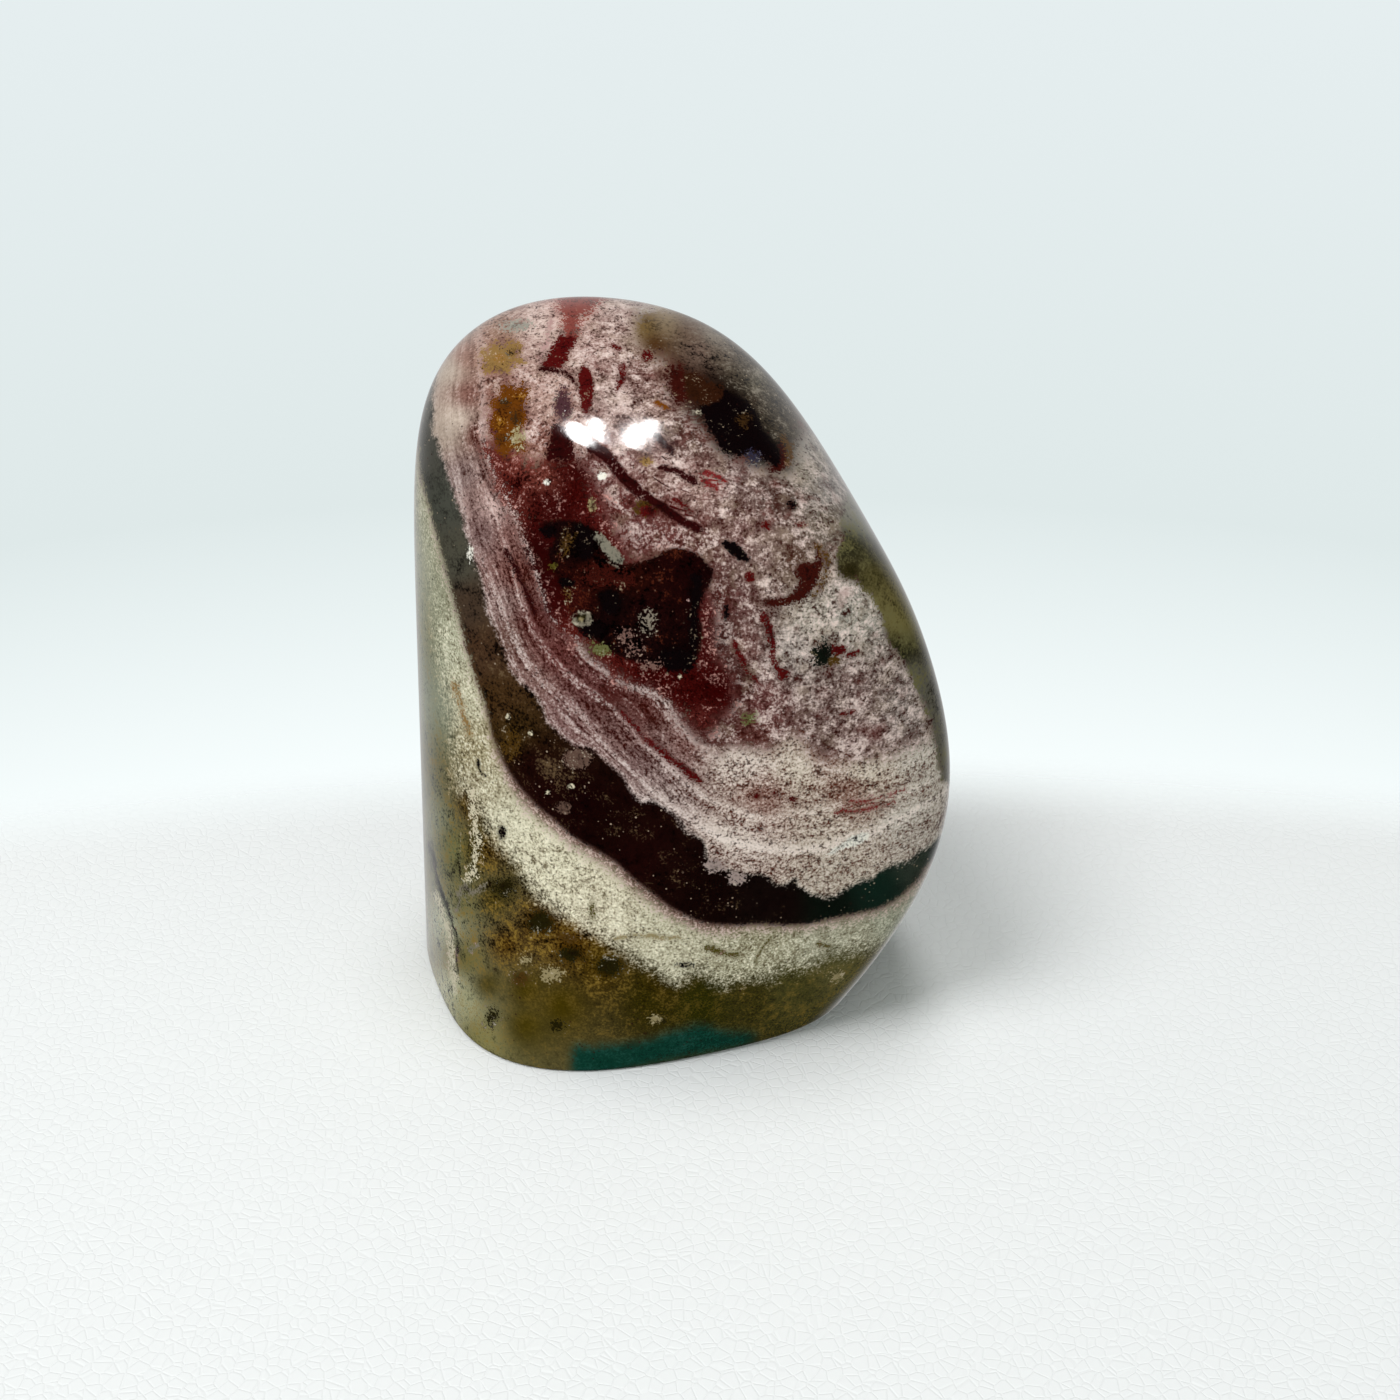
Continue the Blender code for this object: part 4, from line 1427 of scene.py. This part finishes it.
red_value = mixture((grain, 0.9), (flakes, 0.9), (clots, 0.8), (blotches, 0.4))
red = layer("red", red_value, "1a0000", "b88880", 0.14, 0.56)
rock = laid_over(rock, red, fields["deep_red"], edge_noise, 11.0, 0.7)
print("nodes with the pink and red rock:", len(tree.nodes))

# %% [markdown]
# ## Patches, pieces, spots and seams
# The outlined patches come next, then the splinters, the spots and last the seams, which cut through
# everything else.

# %% Patches
healed_value = mixture((grain, 0.8), (flakes, 0.8), (clots, 1.0), (blotches, 0.5))
healed = layer("healed", healed_value, "020000", "542414", 0.16, 0.57, 0.7)
healed = node(tree, "Mix", {0: pale_specks, 6: healed, 7: linear("5c4034")}, data_type="RGBA")[2]
rock = laid_over(rock, healed, fields["dark_patch"], edge_noise, 2.6, 0.25)

crown_rock = layer("crown", healed_value, "080201", "968c7f", 0.16, 0.55, 0.58)
crown_rock = node(tree, "Mix", {0: pale_specks, 6: crown_rock, 7: linear("8f806c")}, data_type="RGBA")[2]
rock = laid_over(rock, crown_rock, fields["crown_patch"], edge_noise, 8.0, 1.4)

green_value = mixture((grain, 0.6), (clots, 0.8), (blotches, 0.6))
green = layer("green", green_value, "201c08", "66603e")
rock = laid_over(rock, green, fields["green_flank"], edge_noise, 4.0, 0.3)

teal = grained(linear("0b352a"), base_value, "04221a", "2c5a50", 0.45)
rock = laid_over(rock, teal, fields["teal_lens"], crumb_noise, 2.5, 1.2)
print("nodes with the patches:", len(tree.nodes))

# %% [markdown]
# A splinter, spot or seam is laid over the rock in the same way for each: its own colour with dark and
# light grains in it, and an edge that the grain pushes about by as much as its edge value asks.


# %% Splinters, spots and seams
def with_piece(below, inside, piece, dark, light, light_start):
    """Return a piece laid over the rock below. Its distance is pushed by the crumbs, ten times its edge
    value, and passed through a narrow smooth step, so a soft piece dissolves into the rock in grains."""
    tone = grained(piece["Color"], red_value, dark, light, 0.22, light_start)
    offset = node(tree, "Math", {0: crumb_noise, 1: 0.5}, operation="SUBTRACT")[0]
    swing = node(tree, "Math", {0: piece["Alpha"], 1: 10.0}, operation="MULTIPLY")[0]
    pushed = node(tree, "Math", {0: offset, 1: swing, 2: inside}, operation="MULTIPLY_ADD")[0]
    mask = node(tree, "MapRange", {"Value": pushed, "From Min": -0.12, "From Max": 0.16},
                interpolation_type="SMOOTHSTEP")[0]
    return node(tree, "Mix", {0: mask, 6: below, 7: tone}, data_type="RGBA")[2]


splinter = node(tree, "Attribute", attribute_name="piece_colour")
rock = with_piece(rock, fields["piece"], splinter, "0a0303", "b09a80", 0.64)

spot = node(tree, "Attribute", attribute_name="spot_colour")
rock = with_piece(rock, fields["spot"], spot, "0f0504", "c8bca8", 0.61)

# A seam sways to its side with the clots, by up to 0.8 mm, so that it isn't a drawn line
seam = node(tree, "Attribute", attribute_name="seam_colour")
seam_sway = node(tree, "Math", {0: clots, 1: 1.6, 2: -0.8}, operation="MULTIPLY_ADD")[0]
seam_across = node(tree, "Math", {0: fields["seam_side"], 1: seam_sway}, operation="ADD")[0]
seam_width = node(tree, "Math", {0: seam_across}, operation="ABSOLUTE")[0]
seam_depth = node(tree, "Math", {0: fields["seam_half"], 1: seam_width}, operation="SUBTRACT")[0]
rock = with_piece(rock, seam_depth, seam, "0c0303", "b09088", 0.6)

# The black specks lie over everything. In dark rock they can't be seen.
rock = node(tree, "Mix", {0: black_specks, 6: rock, 7: linear("2a130e")}, data_type="RGBA")[2]
print("nodes with the pieces and specks:", len(tree.nodes))

# %% [markdown]
# ## The polish
# Polished jasper is a dense, glassy silica rock with an index of refraction of 1.54. To the eye that is a
# wet-looking skin with deep colour under it. The polish is high, but the softer clots and the black specks
# lie about a hundredth of a millimetre lower, and the polish isn't equally sharp everywhere, so a highlight
# has a soft edge. The shader's own sockets hold the values that are the same everywhere.

# %% Polish
RELIEF = 0.03 * MILLIMETRE
SHARPEST = 0.04
DULLEST = 0.08

relief_noise = mixture((clots, 0.5), (blotches, 0.6))
relief_low = node(tree, "Math", {0: black_specks, 1: -0.35, 2: relief_noise}, operation="MULTIPLY_ADD")[0]
relief = node(tree, "Bump", {"Height": relief_low, "Strength": 0.3, "Distance": RELIEF})[0]
wear = node(tree, "MapRange", {"Value": relief_noise, "To Min": SHARPEST, "To Max": DULLEST})[0]

polish = tree.nodes.new("ShaderNodeBsdfPrincipled")
polish.inputs["IOR"].default_value = 1.54
polish.inputs["Metallic"].default_value = 0.0
polish.inputs["Specular IOR Level"].default_value = 0.4
tree.links.new(rock, polish.inputs["Base Color"])
tree.links.new(wear, polish.inputs["Roughness"])
tree.links.new(relief, polish.inputs["Normal"])
node(tree, "OutputMaterial", {"Surface": polish.outputs[0]})
mesh.materials.append(jasper)
print("nodes in the jasper:", len(tree.nodes))

# %% [markdown]
# ## The stone takes its place
# The stone's object sits at the origin, unturned and unscaled, with its place in its mesh. It rides on the
# one body that the model has and stands for the plain CAD stone, which is hidden.

# %% The stone in the scene
stone = bpy.data.objects.new("polished_stone", mesh)
bpy.context.scene.collection.objects.link(stone)
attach(stone, "root")
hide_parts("stone")
print("stone measures", [round(size * 1000, 1) for size in stone.dimensions], "mm")

# %% [markdown]
# ## A pale table
# The stone stands on a pale, round table top. It is a flat disc, because only its upper side is ever seen.
# The polish doesn't mirror it, which keeps the lower part of the stone as deep in colour as it is.

# %% Table top, in metres
TABLE_RADIUS = 0.55
TABLE_MIDDLE = (0.015, -0.489, 0.0)
TABLE_CORNERS = 240

turn = np.linspace(0, 2 * math.pi, TABLE_CORNERS, endpoint=False)
rim_line = TABLE_RADIUS * np.stack([np.cos(turn), np.sin(turn), 0 * turn], axis=-1) + TABLE_MIDDLE
table_mesh = bpy.data.meshes.new("table_top")
table_mesh.from_pydata(rim_line, [], [list(range(TABLE_CORNERS))])
table = bpy.data.objects.new("table_top", table_mesh)
bpy.context.scene.collection.objects.link(table)
table.visible_glossy = False
print("table top:", TABLE_RADIUS * 2, "m across")

# %% [markdown]
# The table has a coated cloth like leather: cells about 1.6 mm wide with soft grooves between them, and no
# gloss to speak of. The grooves are so fine that bump is enough for them. The table's far edge shows behind
# the stone, and there it fades into the pale room over its last 25 mm.

# %% Cloth, in metres
EDGE_FADE = 0.025
CLOTH_CELLS_PER_METRE = 620
GROOVE_DEPTH = 0.12 * MILLIMETRE

cloth = bpy.data.materials.new("White coated cloth")
cloth.use_nodes = True
cloth_tree = cloth.node_tree
cloth_tree.nodes.clear()
cloth_place = node(cloth_tree, "TexCoord")["Object"]
cloth_cells = node(cloth_tree, "TexVoronoi", {"Vector": cloth_place, "Scale": CLOTH_CELLS_PER_METRE},
                   feature="DISTANCE_TO_EDGE")
groove = node(cloth_tree, "MapRange", {"Value": cloth_cells["Distance"], "From Max": 0.09})[0]
cloth_relief = node(cloth_tree, "Bump", {"Height": groove, "Strength": 0.4, "Distance": GROOVE_DEPTH})[0]
cloth_shader = node(cloth_tree, "BsdfPrincipled", {"Base Color": linear("f0f1f2"), "Roughness": 0.6,
                                                  "Normal": cloth_relief})[0]
from_middle = node(cloth_tree, "VectorMath", {0: cloth_place, 1: TABLE_MIDDLE}, operation="DISTANCE")["Value"]
solid_part = node(cloth_tree, "MapRange", {"Value": from_middle, "From Min": TABLE_RADIUS,
                                           "From Max": TABLE_RADIUS - EDGE_FADE},
                  interpolation_type="SMOOTHSTEP")[0]
nothing = node(cloth_tree, "BsdfTransparent")[0]
cloth_surface = node(cloth_tree, "MixShader", {0: solid_part, 1: nothing, 2: cloth_shader})[0]
node(cloth_tree, "OutputMaterial", {"Surface": cloth_surface})
table_mesh.materials.append(cloth)
print("nodes in the cloth:", len(cloth_tree.nodes))

# %% [markdown]
# ## Soft studio light
# The room is pale behind the stone, and what the polish mirrors is dark above and in front of it. That
# keeps the show face deep in colour. The room is told three ways: as the camera sees it, as the polish
# mirrors it, and as the soft fill that it gives to dull surfaces.

# %% Room
WALL_STOPS = [(0.08, "f8ffff"), (0.32, "dfe9e9"), (1.0, "e8f0f2")]
MIRRORED_RISE = 0.6
MIRRORED_LEAST = 0.01
FILL_RISE = 1.0
FILL_LEAST = 0.22
FILL_TINT = (0.96, 1.03, 0.98)

world = bpy.data.worlds.new("Pale room")
bpy.context.scene.world = world
world.use_nodes = True
room = world.node_tree
room.nodes.clear()
toward = node(room, "TexCoord")["Generated"]
parts = node(room, "SeparateXYZ", {0: toward})
ray = node(room, "LightPath")
upwards = node(room, "MapRange", {"Value": parts[2], "From Min": -0.56, "From Max": -0.10})[0]
wall = node(room, "ValToRGB", {0: upwards})
wall_ramp = room.nodes[-1].color_ramp
wall_ramp.elements.new(0.32)
for element, (height, colour) in zip(wall_ramp.elements, WALL_STOPS):
    element.position = height
    element.color = linear(colour)
behind = node(room, "MapRange", {"Value": parts[1], "From Min": 0.2, "From Max": 0.9},
              interpolation_type="SMOOTHSTEP")[0]
low_down = node(room, "MapRange", {"Value": parts[2], "From Min": 0.85, "From Max": 0.45},
                interpolation_type="SMOOTHSTEP")[0]
mirrored = node(room, "Math", {0: behind, 1: low_down}, operation="MULTIPLY")[0]
mirrored = node(room, "Math", {0: mirrored, 1: MIRRORED_RISE, 2: MIRRORED_LEAST}, operation="MULTIPLY_ADD")[0]
in_front = node(room, "MapRange", {"Value": parts[1], "From Min": 0.1, "From Max": -0.8},
                interpolation_type="SMOOTHSTEP")[0]
fill = node(room, "Math", {0: in_front, 1: low_down}, operation="MULTIPLY")[0]
fill = node(room, "Math", {0: fill, 1: FILL_RISE, 2: FILL_LEAST}, operation="MULTIPLY_ADD")[0]
fill_colour = node(room, "VectorMath", {0: FILL_TINT, "Scale": fill}, operation="SCALE")["Vector"]
ambient = node(room, "Mix", {0: ray["Is Diffuse Ray"], 6: mirrored, 7: fill_colour}, data_type="RGBA")[2]
shown = node(room, "Mix", {0: ray["Is Camera Ray"], 6: ambient, 7: wall[0]}, data_type="RGBA")[2]
glow = node(room, "Background", {0: shown, 1: 1.0})[0]
node(room, "OutputWorld", {"Surface": glow})
print("room nodes:", len(room.nodes))

# %% [markdown]
# ## Lamps
# The white highlights on the shoulder are the mirrored lamps of a studio. Three narrow oval lamps, which
# only the polish sees, are placed where their reflections fall. Two larger soft ones, which the polish
# doesn't see, light the stone and the table evenly.

# %% Lamps: azimuth, elevation, width and length, turn, watts, mirrored by the polish
LAMPS = {
    "left_highlight": (-37.6, 72.4, (0.06, 0.33), -24, 2.0, True),
    "middle_highlight": (-40.6, 82.3, (0.023, 0.34), -20, 0.9, True),
    "right_highlight": (146.6, 88.9, (0.025, 0.44), -22, 1.2, True),
    "soft_left": (-50, 60, (0.4, 0.4), 0, 5.9, False),
    "soft_right": (135, 86, (0.3, 0.3), 0, 2.9, False),
}
SHOULDER = np.array([-6, -14, 90]) * MILLIMETRE


def overhead_lamp(name, azimuth, elevation, size, turn, watts, mirrored):
    """Add an oval lamp one metre from the stone's shoulder, in a direction, looking at the shoulder. Its
    size is its width and length in metres, and turn is how far it is turned about its own axis."""
    light = bpy.data.lights.new(name, "AREA")
    light.shape = "ELLIPSE"
    light.size, light.size_y = size
    light.energy = watts
    lamp = bpy.data.objects.new(name, light)
    lamp.location = SHOULDER + direction(azimuth, elevation)
    aim = mathutils.Euler((math.radians(90 - elevation), 0, math.radians(azimuth))).to_matrix()
    spin = mathutils.Euler((0, 0, math.radians(turn - azimuth))).to_matrix()
    lamp.rotation_euler = (aim @ spin).to_euler()
    lamp.visible_diffuse = not mirrored
    lamp.visible_glossy = mirrored
    bpy.context.scene.collection.objects.link(lamp)


for name, lamp_values in LAMPS.items():
    overhead_lamp(name, *lamp_values)

# %% [markdown]
# ## The camera itself
# The camera stands where the pattern was worked out from. Nothing is out of focus. The plain view transform
# shows the colours as they are, with no film curve laid over them.

# %% Camera object
lens = bpy.data.cameras.new("camera")
lens.lens = LENS
lens.sensor_width = SENSOR
lens.clip_start = 0.01
camera = bpy.data.objects.new("camera", lens)
camera.location = (CAMERA_PLACE - box_middle) * MILLIMETRE
camera.rotation_euler = (math.radians(90 - CAMERA_DROP), 0, 0)
bpy.context.scene.collection.objects.link(camera)
bpy.context.scene.camera = camera
bpy.context.scene.view_settings.view_transform = "Standard"
print("camera at", [round(value * 1000, 1) for value in camera.location], "mm")

# %% [markdown]
# Last, the scene is brought up to date.

bpy.context.view_layer.update()
